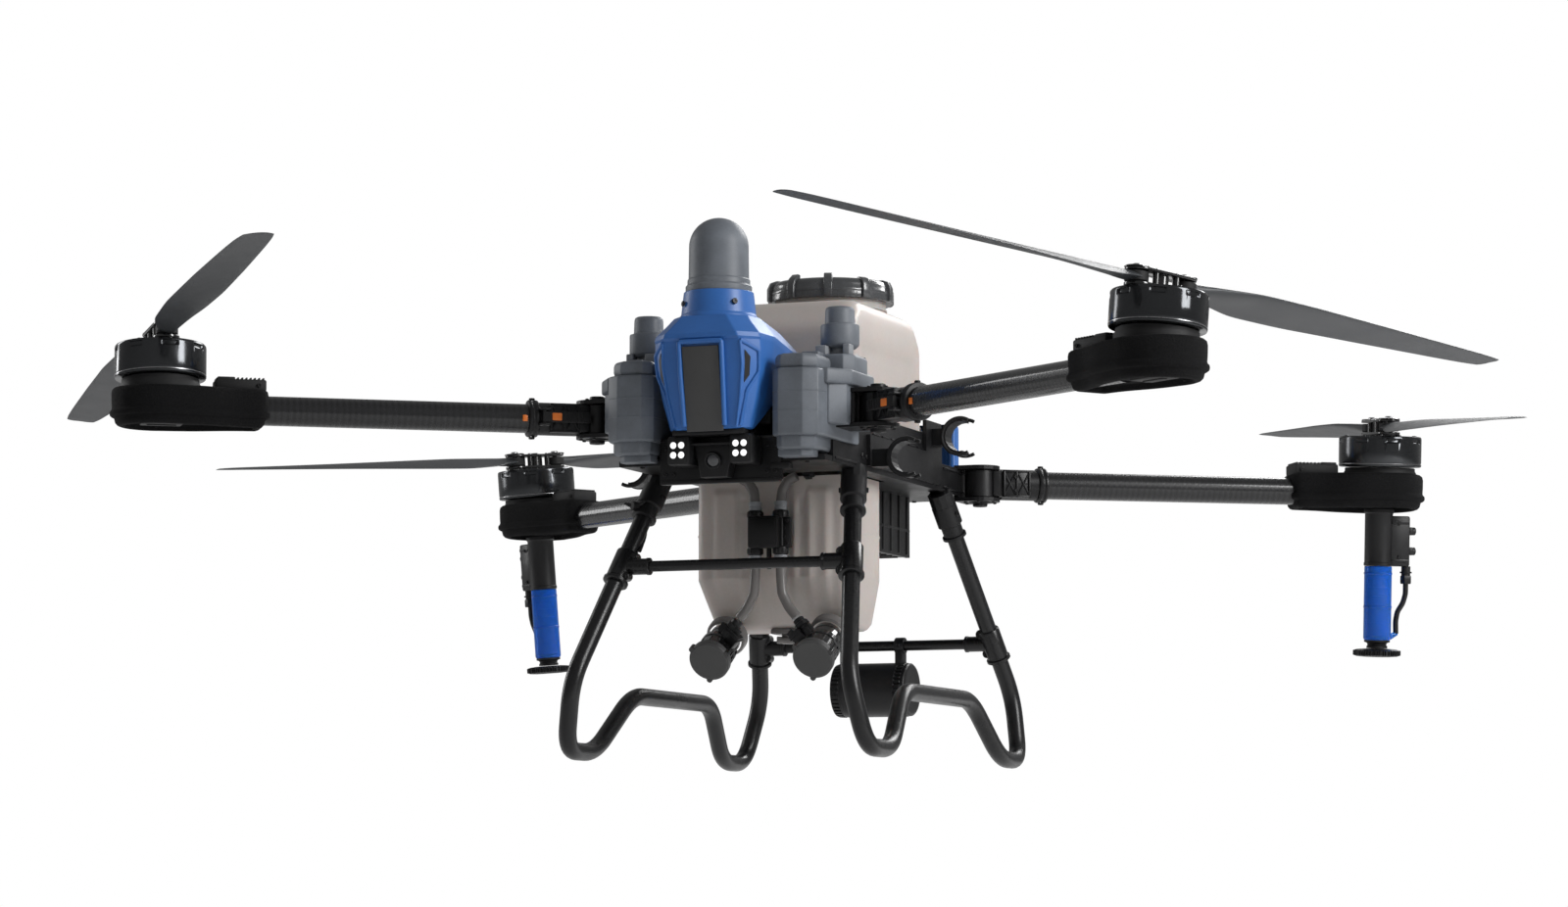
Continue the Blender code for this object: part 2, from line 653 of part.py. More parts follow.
def hose_route(side):
    """From the pump's elbow up past the flow meter and out under the deck."""
    points = [(0.0425, HOSE_Y, 0.1870), (0.0310, HOSE_Y, 0.2010), (0.0210, HOSE_Y, 0.2200),
              (HOSE_X, HOSE_Y, 0.2450), (HOSE_X, HOSE_Y, 0.3000), (HOSE_X, HOSE_Y, 0.3480),
              (0.0215, HOSE_Y, 0.3640), (0.0300, HOSE_Y, 0.3765), (0.0420, HOSE_Y, 0.3830)]
    return smooth_route([(side * x, y, z) for x, y, z in points], 3)


def make_plumbing(datum, black, clear):
    for side, word in ((1, "left"), (-1, "right")):
        fuse(f"riser_hose_{word}", clear, [pipe(hose_route(side), HOSE_R, 3)], (), datum)
    parts = [box((-0.022, -0.1580, 0.2850), (0.022, -0.1400, 0.3250), 0.002),
             box((-0.0275, -0.1420, 0.2850), (0.0340, -0.1230, 0.3250))]
    cuts = []
    for side in (1, -1):
        parts.append(bar((side * HOSE_X, HOSE_Y, 0.2660), (side * HOSE_X, HOSE_Y, 0.3440), 0.0095, 16))
        cuts.append(bar((side * HOSE_X, HOSE_Y, 0.2560), (side * HOSE_X, HOSE_Y, 0.3540),
                        HOSE_R + FIT, 16))
    fuse("flow_meter", black, parts, cuts, datum)


def make_battery(datum, black):
    low = BELLY_Z + BELLY_THICK + FIT
    pack = box((-0.072, 0.2120, low), (0.072, 0.3120, BATTERY_TOP), 0.006)
    posts = [box((x - 0.008, 0.2560, BATTERY_TOP - 0.006), (x + 0.008, 0.2680, BATTERY_TOP + 0.016))
             for x in (-0.048, 0.048)]
    grip = box((-0.057, 0.2550, BATTERY_TOP + 0.012), (0.057, 0.2690, BATTERY_TOP + 0.024), 0.003)
    fuse("battery", black, [pack, *posts, grip], (), datum)


# ---- arms, motors, blades and nozzles ------------------------------------------------------
def make_arm(place_name, arm, turn, reach, carbon):
    """Tube, collar and knuckle, with lugs for the latch on the side away from the fold."""
    lug_y = -turn * 0.0335
    parts = [bar((0.012, 0, 0), (reach - 0.0303, 0, 0), ARM_TUBE_R, 20),
             bar((0.016, 0, 0), (ARM_RING_X, 0, 0), ARM_COLLAR_R - 0.003, 20),
             bar((ARM_RING_X - 0.005, 0, 0), (ARM_RING_X + 0.005, 0, 0), ARM_RING_R, 20),
             bar((0, 0, -0.0200), (0, 0, 0.0200), KNUCKLE_R, 20)]
    for low in (-0.0120, 0.0080):
        near, far = sorted((-turn * 0.010, lug_y))
        parts.append(box((0.0730, near, low), (0.0860, far + 0.001, low + 0.0040)))
    parts.append(bar((0.0795, lug_y + turn * 0.004, -0.0110), (0.0795, lug_y + turn * 0.004, 0.0110),
                     0.0025, 10))
    cuts = [bar((0, 0, -0.030), (0, 0, 0.030), HINGE_PIN_R + RUN, 16)]
    fuse(f"arm_{place_name}", carbon, parts, cuts, arm)


def make_latch(place_name, arm, turn, black):
    """A flat lever beside the collar, whose eye turns on the arm's pin."""
    pin = (0.0795, -turn * 0.0295, 0.0)
    near, far = sorted((-turn * 0.0255, -turn * 0.0340))
    parts = [box((0.0180, near, -0.0070), (0.0795, far, 0.0070), 0.001),
             bar((pin[0], pin[1], -0.0072), (pin[0], pin[1], 0.0072), 0.0052, 14)]
    cuts = [bar((pin[0], pin[1], -0.020), (pin[0], pin[1], 0.020), 0.0025 + RUN, 14)]
    fuse(f"latch_{place_name}", black, parts, cuts, arm, pin)


def make_pod(place_name, arm, turn, reach, boot, with_nozzle):
    """The boot round the arm's end, with a seat for the motor square to its tilted axis."""
    outline = []
    for step in range(13):
        angle = math.radians(-90 + 180 * step / 12)
        outline.append((reach + POD_NOSE * math.cos(angle), POD_HALF_WIDTH * math.sin(angle)))
    outline += [(reach - 0.055, 0.054), (reach - POD_TAIL, 0.031),
                (reach - POD_TAIL, -0.031), (reach - 0.055, -0.054)]
    tilt = Matrix.Translation((reach, 0, 0)) @ Matrix.Rotation(math.radians(-turn * MOTOR_TILT), 4, "X")
    parts = [slab(outline, -POD_HALF_HEIGHT, POD_HALF_HEIGHT),
             bar((0, 0, 0.010), (0, 0, SEAT_TOP), SEAT_R, 24, None, tilt),
             box((reach - POD_TAIL + 0.004, -0.022, POD_HALF_HEIGHT - 0.002),
                 (reach - BELL_R - 0.008, 0.022, POD_HALF_HEIGHT + 0.017), 0.002)]
    if with_nozzle:
        parts.append(bar((0, 0, -0.010), (0, 0, NOZZLE_TOP + FIT), NOZZLE_R + 0.002, 16, None, tilt))
    cuts = [bar((reach - POD_TAIL - 0.02, 0, 0), (reach - 0.0300, 0, 0), ARM_TUBE_R + FIT, 20)]
    fuse(f"motor_pod_{place_name}", boot, parts, cuts, arm)


def make_bell(place_name, rotor, glossy):
    """Motor bell with the two plates and the two pins that hold the blades."""
    low = BELL_BASE
    high = low + BELL_HEIGHT
    profile = [(0, low), (BELL_R - 0.002, low), (BELL_R, low + 0.002), (BELL_R, high - 0.004),
               (BELL_R - 0.004, high), (0, high)]
    park = math.radians(PARK[place_name])
    across = Vector((math.cos(park), math.sin(park), 0))
    place = Matrix.Rotation(park, 4, "Z")
    cap_low = BLADE_GAP_LOW + BLADE_ROOT_THICK + 2 * RUN
    parts = [turned(profile, 22),
             box((-0.054, -0.017, high - 0.001), (0.054, 0.017, BLADE_GAP_LOW), 0, place),
             box((-0.054, -0.017, cap_low), (0.054, 0.017, cap_low + HUB_PLATE), 0, place),
             box((-0.014, -0.012, high), (0.014, 0.012, cap_low + 0.001), 0, place)]
    for sign in (1, -1):
        pin = across * HUB_SPAN * sign
        parts.append(bar(pin + Vector((0, 0, high)), pin + Vector((0, 0, cap_low + 0.001)),
                         BLADE_PIN_R, 12))
    fuse(f"motor_bell_{place_name}", glossy, parts, (), rotor)


def blade_rings(spin):
    """Blade sections out from the pin: distance, chord, thickness and pitch in degrees."""
    stations = [(0.0130, 0.0240, 0.0120, 6.0), (0.0450, 0.0400, 0.0095, 17.0),
                (0.1150, 0.0700, 0.0065, 15.0), (0.2100, 0.0760, 0.0050, 12.0),
                (0.3500, 0.0660, 0.0040, 9.0), (0.4800, 0.0530, 0.0032, 6.5),
                (0.5440, 0.0440, 0.0026, 5.0), (ROTOR_R - HUB_SPAN, 0.0200, 0.0020, 5.0)]
    section = [(0.40, 0.00), (0.24, 0.50), (-0.12, 0.40), (-0.60, 0.12), (-0.60, -0.12),
               (-0.12, -0.35), (0.24, -0.45)]
    rings = []
    for out, chord, thick, pitch in stations:
        angle = math.radians(pitch)
        ring = []
        for across, up in section:
            y = across * chord * math.cos(angle) - up * thick * math.sin(angle)
            z = across * chord * math.sin(angle) + up * thick * math.cos(angle)
            ring.append((out, spin * y, z))
        rings.append(ring)
    return rings


def make_blades(place_name, rotor, spin, plastic):
    middle = BLADE_GAP_LOW + RUN + BLADE_ROOT_THICK / 2
    for letter, sign in (("a", 1), ("b", -1)):
        heading = math.radians(PARK[place_name]) + (0 if sign > 0 else math.pi)
        pin = Vector((math.cos(heading) * HUB_SPAN, math.sin(heading) * HUB_SPAN, middle))
        place = Matrix.Translation(pin) @ Matrix.Rotation(heading, 4, "Z")
        half = BLADE_ROOT_THICK / 2
        eye = bar((0, 0, -half), (0, 0, half), BLADE_EYE_R, 18, None, place)
        cuts = [bar((0, 0, -0.02), (0, 0, 0.02), BLADE_PIN_R + RUN, 12, None, place)]
        fuse(f"blade_{letter}_{place_name}", plastic, [eye, loft(blade_rings(spin), place)],
             cuts, rotor, pin)


def make_nozzle(place_name, rotor, black, clear_blue):
    """Motor housing, clear tube, spinning disc and feed hose, hung under a rear pod."""
    side = place_name.split("_")[1]
    housing = bar((0, 0, NOZZLE_BODY_END), (0, 0, NOZZLE_TOP), NOZZLE_R + 0.0005, 20)
    chest = box((0.012, -0.0130, NOZZLE_BODY_END), (0.0455, 0.0130, NOZZLE_TOP - 0.004), 0.002)
    plugs = [box((0.0430, -0.0080, z), (0.0535, 0.0080, z + 0.012), 0.002) for z in (-0.062, -0.092)]
    gland = bar((0.0440, 0, -0.1340), (0.0440, 0, -0.1050), 0.0085, 8)
    fuse(f"nozzle_body_{side}", black, [housing, chest, *plugs, gland], (), rotor)
    inner = NOZZLE_R - NOZZLE_TUBE_WALL
    top = NOZZLE_BODY_END - FIT
    bore = SPINDLE_R + RUN
    profile = [(NOZZLE_R, top), (inner, top), (inner, NOZZLE_TUBE_END + 0.004),
               (bore, NOZZLE_TUBE_END + 0.004), (bore, NECK_END), (0.0155, NECK_END),
               (0.0155, NOZZLE_TUBE_END - 0.004), (NOZZLE_R, NOZZLE_TUBE_END)]
    nub = bar((0.0150, 0, NOZZLE_TUBE_END + 0.001), (0.0330, 0, NOZZLE_TUBE_END + 0.010), 0.0042, 10)
    fuse(f"nozzle_tube_{side}", clear_blue, [turned(profile, 20), nub], (), rotor)
    disc_top = NECK_END - 0.0008
    profile = [(0, disc_top - DISC_THICK - 0.002), (0.004, disc_top - DISC_THICK - 0.002),
               (0.010, disc_top - DISC_THICK), (DISC_R, disc_top - DISC_THICK),
               (DISC_R, disc_top - 0.0030), (DISC_R - 0.008, disc_top), (SPINDLE_R, disc_top),
               (SPINDLE_R, NOZZLE_TUBE_END + 0.012), (0, NOZZLE_TUBE_END + 0.012)]
    fuse(f"nozzle_disc_{side}", black, [turned(profile, 24)], (), rotor)
    points = [(0.0440, 0, -0.1343), (0.0440, 0, -0.1500), (0.0400, 0, -0.1640), (0.0310, 0, -0.1760),
              (0.0275, 0, -0.1880), (0.0272, 0, NOZZLE_TUBE_END + 0.0165)]
    fuse(f"nozzle_hose_{side}", black, [pipe(smooth_route(points, 3), HOSE_SMALL_R, 2)], (), rotor)


def make_quarter(datum, end, side, looks):
    """One arm with everything on it. The fold turns the arm to its local +Y side times turn."""
    word = "left" if side > 0 else "right"
    place_name = f"{end}_{word}"
    hinge, angle, reach = ((FRONT_HINGE, FRONT_ARM_ANGLE, FRONT_ARM_REACH) if end == "front"
                           else (REAR_HINGE, REAR_ARM_ANGLE, REAR_ARM_REACH))
    turn = side if end == "front" else -side
    heading = angle if side > 0 else 180 - angle
    arm = empty(f"fold_{place_name}", mirrored(hinge, side), heading, datum)
    rotor = empty(f"axis_{place_name}", (reach, 0, 0), 0, arm, -turn * MOTOR_TILT)
    make_arm(place_name, arm, turn, reach, looks["carbon"])
    make_latch(place_name, arm, turn, looks["black"])
    make_pod(place_name, arm, turn, reach, looks["boot"], end == "rear")
    make_bell(place_name, rotor, looks["glossy"])
    make_blades(place_name, rotor, -turn, looks["plastic"])
    if end == "rear":
        make_nozzle(place_name, rotor, looks["black"], looks["clear_blue"])


def main():
    clear_scene()
    looks = {
        "black": finish("moulded_black", BLACK, 0.45),
        "boot": finish("boot_black", (0.008, 0.008, 0.008), 0.85),
        "carbon": finish("carbon_tube", (0.020, 0.021, 0.023), 0.30),
        "glossy": finish("motor_gloss", (0.015, 0.016, 0.018), 0.18, 0.8),
        "plastic": finish("blade_grey", (0.045, 0.048, 0.052), 0.50),
        "clear_blue": finish("clear_blue", (0.020, 0.180, 0.620), 0.20),
        "blue": finish("cowl_blue", (0.022, 0.098, 0.352), 0.45),
        "grey": finish("cover_grey", (0.105, 0.115, 0.130), 0.55),
        "dark": finish("window_grey", (0.055, 0.055, 0.055), 0.50),
        "milky": finish("tank_milky", (0.620, 0.570, 0.540), 0.45),
        "smoke": finish("cap_smoke", (0.110, 0.115, 0.120), 0.30),
        "hose": finish("hose_clear", (0.200, 0.200, 0.200), 0.30),
    }
    datum = empty("datum", (0, -BELLY_MID_Y, -BELLY_Z))
    make_chassis(datum, looks["black"])
    make_shoulders(datum, looks["grey"])
    make_nose(datum, looks["blue"], looks["dark"], looks["grey"])
    make_front_fittings(datum, looks["black"], looks["grey"])
    make_tail(datum, looks["blue"])
    make_arm_rests(datum, looks["black"])
    make_landing_gear(datum, looks["black"])
    make_terrain_radar(datum, looks["black"])
    make_tank(datum, looks["milky"])
    make_tank_cap(datum, looks["smoke"])
    make_pumps(datum, looks["black"])
    make_plumbing(datum, looks["black"], looks["hose"])
    make_battery(datum, looks["black"])
    for end in ("front", "rear"):
        for side in (1, -1):
            make_quarter(datum, end, side, looks)


main()
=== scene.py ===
"""Looks of a folding spray drone, laid out as an add-on: one operator for each group of pieces."""

import json
import math

import bmesh
import bpy
import numpy as np
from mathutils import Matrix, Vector


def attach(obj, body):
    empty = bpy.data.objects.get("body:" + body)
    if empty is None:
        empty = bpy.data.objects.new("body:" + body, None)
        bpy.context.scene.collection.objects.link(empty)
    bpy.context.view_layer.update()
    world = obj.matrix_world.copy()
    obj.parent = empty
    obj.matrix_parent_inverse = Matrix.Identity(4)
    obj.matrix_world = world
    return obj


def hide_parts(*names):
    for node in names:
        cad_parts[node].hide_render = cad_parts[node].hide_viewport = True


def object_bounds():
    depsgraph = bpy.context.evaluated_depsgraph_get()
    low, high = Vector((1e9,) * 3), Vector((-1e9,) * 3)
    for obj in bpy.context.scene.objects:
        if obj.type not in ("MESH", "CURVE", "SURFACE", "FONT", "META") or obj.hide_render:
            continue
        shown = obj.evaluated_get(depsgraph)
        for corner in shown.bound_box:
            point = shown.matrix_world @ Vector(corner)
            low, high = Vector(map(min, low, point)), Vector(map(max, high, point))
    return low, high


bl_info = {
    "name": "Spray Drone Looks",
    "version": (1, 0, 0),
    "blender": (4, 5, 0),
    "location": "View3D > Sidebar > Drone",
    "description": "Builds the surfaces and finishes of a folding agricultural spray drone",
    "category": "Object",
}

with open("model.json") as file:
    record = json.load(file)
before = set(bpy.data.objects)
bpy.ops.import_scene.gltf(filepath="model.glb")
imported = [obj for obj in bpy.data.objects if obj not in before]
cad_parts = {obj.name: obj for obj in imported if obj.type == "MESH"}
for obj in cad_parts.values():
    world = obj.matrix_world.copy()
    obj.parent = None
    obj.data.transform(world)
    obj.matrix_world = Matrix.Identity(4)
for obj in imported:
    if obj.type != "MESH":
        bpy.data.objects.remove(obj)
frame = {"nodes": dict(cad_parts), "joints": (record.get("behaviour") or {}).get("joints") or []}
CAD_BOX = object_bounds()
JOINTS = {joint["name"]: joint for joint in frame["joints"]}
TAU = math.tau
GEAR = np.array((0.0, -0.034, -0.385))      # origin of the sizes below: skid tube centre line
HINGES = {"front": (0.206, -0.258, 0.457), "rear": (0.175, 0.269, 0.403)}   # left fold pins
SIDES = (("left", 1), ("right", -1))
PLACES = ("front_left", "front_right", "rear_left", "rear_right")


def colour_property(name, description, default):
    return bpy.props.FloatVectorProperty(name=name, description=description, subtype="COLOR",
                                         size=3, min=0.0, max=1.0, default=default)


def length_property(name, description, default):
    return bpy.props.FloatProperty(name=name, description=description, subtype="DISTANCE",
                                   unit="LENGTH", min=0.0, default=default)


class DroneColours(bpy.types.PropertyGroup):
    cowl: colour_property("Cowl", "Blue of the nose and tail cowls", (0.026, 0.125, 0.4))
    cover: colour_property("Covers", "Grey of the shoulder covers, antennas and dome",
                           (0.128, 0.142, 0.162))
    tank: colour_property("Tank", "Milky plastic of the tank", (0.47, 0.425, 0.398))
    black: colour_property("Moulded black", "Brackets, boots and small fittings",
                           (0.0075, 0.0075, 0.0082))
    blade: colour_property("Blades", "Composite of the rotor blades", (0.036, 0.039, 0.043))
    nozzle: colour_property("Nozzle tube", "Clear tube over the nozzle motor",
                            (0.03, 0.26, 0.9))
    tab: colour_property("Latch tab", "Orange release tab", (0.75, 0.18, 0.02))


class DroneSizes(bpy.types.PropertyGroup):
    arm_radius: length_property("Arm radius", "Outer radius of the carbon tubes", 0.02)
    leg_radius: length_property("Leg radius", "Outer radius of the skid tubes", 0.0122)
    hose_radius: length_property("Hose radius", "Outer radius of the riser hoses", 0.007)
    weave: length_property("Weave", "Width of one tow of the carbon cloth", 0.0042)
    blade_segments: bpy.props.IntProperty(name="Blade segments", min=12, max=120, default=64,
                                          description="Sections along each blade")
    floor_drop: length_property("Floor drop", "Floor below the lowest point of the drone", 0.42)


# ---- arrays and surfaces -------------------------------------------------------------------
def unit(vectors):
    vectors = np.asarray(vectors, float)
    return vectors / np.maximum(np.linalg.norm(vectors, axis=-1, keepdims=True), 1e-12)


def frame_at(origin, axis=(0, 0, 1), across=(1, 0, 0)):
    """A 4 by 4 frame: Z along axis, X along across less its share along the axis."""
    z = unit(axis)
    if abs(np.dot(unit(across), z)) > 0.99:
        across = (0, 1, 0) if abs(z[1]) < 0.9 else (0, 0, 1)
    x = unit(np.asarray(across, float) - z * np.dot(across, z))
    made = np.eye(4)
    made[:3, 0] = x
    made[:3, 1] = np.cross(z, x)
    made[:3, 2] = z
    made[:3, 3] = origin
    return made


GROUND = frame_at(GEAR)


def surface(points, wrap=True, ring=False, caps=True, place=GROUND):
    """Quads between the rows and columns of points (rows, columns, 3).

    wrap joins the last column to the first, ring the last row to the first, and caps closes the
    first and last rows. The texture places are the distances along and around, in metres.
    """
    rows, columns = points.shape[:2]
    index = np.arange(rows * columns).reshape(rows, columns)
    if ring:
        index = np.vstack([index, index[:1]])
        points = np.concatenate([points, points[:1]])
    if wrap:
        index = np.hstack([index, index[:, :1]])
        points = np.concatenate([points, points[:, :1]], axis=1)
    quads = np.stack([index[:-1, :-1], index[:-1, 1:], index[1:, 1:], index[1:, :-1]], axis=-1)
    along = np.linalg.norm(np.diff(points, axis=0), axis=2).mean(axis=1)
    around = np.linalg.norm(np.diff(points, axis=1), axis=2).max(axis=0)
    u = np.concatenate([[0.0], np.cumsum(along)])[:, None] + np.zeros(points.shape[:2])
    v = np.concatenate([[0.0], np.cumsum(around)])[None, :] + np.zeros(points.shape[:2])
    spots = np.stack([u, v], axis=-1)
    corners = np.stack([spots[:-1, :-1], spots[:-1, 1:], spots[1:, 1:], spots[1:, :-1]], axis=2)
    ends = [index[0, :columns][::-1], index[-1, :columns]] if caps and wrap and not ring else []
    flat = points[:rows, :columns].reshape(-1, 3) @ place[:3, :3].T + place[:3, 3]
    return flat, quads.reshape(-1, 4), ends, corners.reshape(-1, 4, 2)


def soft(points, radius, steps=4, closed=False):
    """A line whose corners are curves: the quadratic from radius before to radius after."""
    p = np.asarray(points, float)
    before = np.roll(p, 1, axis=0) - p
    after = np.roll(p, -1, axis=0) - p
    reach = np.broadcast_to(np.asarray(radius, float), len(p))[:, None]
    start = p + unit(before) * np.minimum(reach, 0.48 * np.linalg.norm(before, axis=1)[:, None])
    stop = p + unit(after) * np.minimum(reach, 0.48 * np.linalg.norm(after, axis=1)[:, None])
    t = np.linspace(0, 1, steps + 1)[None, :, None]
    bend = (1 - t) ** 2 * start[:, None] + 2 * t * (1 - t) * p[:, None] + t ** 2 * stop[:, None]
    if closed:
        return bend.reshape(-1, p.shape[1])
    return np.vstack([p[:1], bend[1:-1].reshape(-1, p.shape[1]), p[-1:]])


def tube(path, radius, sides=24, place=GROUND, flat=1.0, up=(0.17, 0.31, 0.94)):
    """A circle of the given radius at each point of the path, square to the path there."""
    path = np.asarray(path, float)
    ahead = unit(np.gradient(path, axis=0))
    side = unit(np.cross(ahead, up))
    over = np.cross(side, ahead)
    angle = np.arange(sides) * TAU / sides
    size = np.broadcast_to(np.asarray(radius, float), len(path))[:, None, None]
    ring = np.cos(angle)[:, None] * side[:, None] + flat * np.sin(angle)[:, None] * over[:, None]
    return surface(path[:, None] + size * ring, place=place)


def rod(start, end, radius, sides=24, edge=0.0008, place=GROUND):
    """A straight tube whose two rims are drawn in by a small chamfer."""
    start, end = np.asarray(start, float), np.asarray(end, float)
    ahead = unit(end - start)
    path = np.stack([start, start + ahead * edge, end - ahead * edge, end])
    up = (0, 0, 1) if abs(ahead[2]) < 0.9 else (0, 1, 0)
    return tube(path, [radius - edge, radius, radius, radius - edge], sides, place, up=up)


def turned(profile, sides=40, place=GROUND, at=(0, 0, 0), ring=False):
    """A profile of (radius, height) points carried round the Z axis at a point."""
    profile = np.asarray(profile, float)
    profile = profile[profile[:, 0] > 1e-6]
    angle = np.arange(sides) * TAU / sides
    radius, height = profile[:, :1], profile[:, 1:]
    points = np.stack([radius * np.cos(angle), radius * np.sin(angle),
                       height + 0 * angle], axis=-1)
    return surface(points + np.asarray(at, float), ring=ring, place=place)


def block(low, high, radius=0.0015, place=GROUND, steps=3):
    """A box with round edges: a ball whose eight quarters are pulled out to the corners."""
    low, high = np.minimum(low, high), np.maximum(low, high)
    radius = min(radius, 0.49 * float((high - low).min()))
    quarter = np.linspace(0, TAU / 4, steps)
    rise = np.concatenate([quarter - TAU / 4, quarter])[:, None]
    turn = np.concatenate([quarter + step * TAU / 4 for step in range(4)])[None, :]
    signs = np.stack([np.repeat((1, -1, -1, 1), steps)[None, :] + 0 * rise,
                      np.repeat((1, 1, -1, -1), steps)[None, :] + 0 * rise,
                      np.repeat((-1, 1), steps)[:, None] + 0 * turn], axis=-1)
    ball = np.stack([np.cos(rise) * np.cos(turn), np.cos(rise) * np.sin(turn),
                     np.sin(rise) + 0 * turn], axis=-1)
    half = (high - low) / 2 - radius
    return surface((low + high) / 2 + signs * half + radius * ball, place=place)


def inset(outline, distance):
    """A counter-clockwise closed outline moved inwards along its corners' mitres."""
    ahead = unit(np.roll(outline, -1, axis=0) - outline)
    out = np.stack([ahead[:, 1], -ahead[:, 0]], axis=1)
    before = np.roll(out, 1, axis=0)
    mitre = (out + before) / np.maximum(1 + (out * before).sum(axis=1), 0.3)[:, None]
    return outline - mitre * distance


def anticlockwise(outline):
    outline = np.asarray(outline, float)
    x, y = outline[:, 0], outline[:, 1]
    area = (x * np.roll(y, -1) - y * np.roll(x, -1)).sum()
    return outline if area > 0 else outline[::-1]


def stack(outline, rows, place=GROUND, ring=False):
    """An outline repeated at each (inset, height) row and skinned."""
    outline = anticlockwise(outline)
    layers = [np.column_stack([inset(outline, distance), np.full(len(outline), height)])
              for distance, height in rows]
    return surface(np.stack(layers), place=place, ring=ring)


def prism(outline, low, high, edge=0.0012, place=GROUND):
    """An outline raised along Z, its two rims rounded by edge."""
    low, high = min(low, high), max(low, high)
    edge = min(edge, 0.45 * (high - low))
    turn = np.linspace(0, TAU / 4, 4)
    rows = [(edge * (1 - math.sin(a)), low + edge * (1 - math.cos(a))) for a in turn]
    rows += [(edge * (1 - math.sin(a)), high - edge * (1 - math.cos(a))) for a in turn[::-1]]
    return stack(outline, rows, place)


def screw(at, axis, radius=0.003, height=0.0022, place=GROUND):
    """A round head with a socket, standing on a point and looking along axis."""
    head = place @ frame_at(at, axis, (axis[1] + 0.3, axis[2] + 0.2, axis[0] + 0.1))
    profile = [(radius, 0), (radius, height * 0.75), (radius * 0.85, height),
               (radius * 0.48, height), (radius * 0.45, height * 0.4)]
    return turned(profile, 14, head)


def bow(count, start=0.0, stop=1.0):
    return np.linspace(start, stop, count)


def piece(name, shells, look, body, replaces=(), angle=34.0, slot=None):
    """One object from closed surfaces: doubles merged and faces turned outwards, shell by shell.

    look names a finish. A slot is worked out, the finish's own unless another is given, but nothing
    keeps it.
    """
    whole = bmesh.new()
    for points, quads, ends, corners in shells:
        part = bmesh.new()
        layer = part.loops.layers.uv.new("UVMap")
        knots = [part.verts.new(point) for point in points]
        for quad, spots in zip(quads, corners):
            if len(set(quad)) == 4:
                face = part.faces.new([knots[k] for k in quad])
                for loop, spot in zip(face.loops, spots):
                    loop[layer].uv = spot
        for end in ends:
            part.faces.new([knots[k] for k in end])
        bmesh.ops.remove_doubles(part, verts=part.verts, dist=1e-6)
        bmesh.ops.recalc_face_normals(part, faces=part.faces)
        scrap = bpy.data.meshes.new("scrap")
        part.to_mesh(scrap)
        part.free()
        whole.from_mesh(scrap)
        bpy.data.meshes.remove(scrap)
    mesh = bpy.data.meshes.new(name)
    whole.to_mesh(mesh)
    whole.free()
    mesh.shade_smooth()
    mesh.set_sharp_from_angle(angle=math.radians(angle))
    made = bpy.data.objects.new(name, mesh)
    bpy.context.scene.collection.objects.link(made)
    mesh.materials.append(FINISHES[look])
    slot = slot or SLOTS[look]
    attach(made, body)
    if replaces:
        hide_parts(*replaces)
    return made


# ---- finishes ------------------------------------------------------------------------------
def node(tree, kind, **inputs):
    made = tree.nodes.new(kind)
    for key, value in inputs.items():
        made.inputs[key.replace("_", " ")].default_value = value
    return made


def maths(tree, operation, first, second=0.0):
    """A Math node of one operation; its inputs are numbers or sockets."""
    made = tree.nodes.new("ShaderNodeMath")
    made.operation = operation
    for socket, value in zip(made.inputs, (first, second)):
        if isinstance(value, bpy.types.NodeSocket):
            tree.links.new(value, socket)
        else:
            socket.default_value = value
    return made.outputs[0]


def group(name, inputs):
    """A shader node group that gives a colour, a roughness and a height."""
    tree = bpy.data.node_groups.new(name, "ShaderNodeTree")
    for label, kind, value in inputs:
        socket = tree.interface.new_socket(name=label, in_out="INPUT", socket_type=kind)
        socket.default_value = value
    for label, kind in (("Colour", "NodeSocketColor"), ("Roughness", "NodeSocketFloat"),
                        ("Height", "NodeSocketFloat")):
        tree.interface.new_socket(name=label, in_out="OUTPUT", socket_type=kind)
    return tree, tree.nodes.new("NodeGroupInput"), tree.nodes.new("NodeGroupOutput")


def shade(tree, colour, amount, low=0.0, high=2.0):
    """A colour multiplied by a grey that follows amount, from low to high."""
    grey = tree.nodes.new("ShaderNodeMapRange")
    grey.inputs["To Min"].default_value = low
    grey.inputs["To Max"].default_value = high
    tree.links.new(amount, grey.inputs["Value"])
    scaled = tree.nodes.new("ShaderNodeVectorMath")
    scaled.operation = "SCALE"
    tree.links.new(colour, scaled.inputs[0])
    tree.links.new(grey.outputs[0], scaled.inputs["Scale"])
    return scaled.outputs[0]


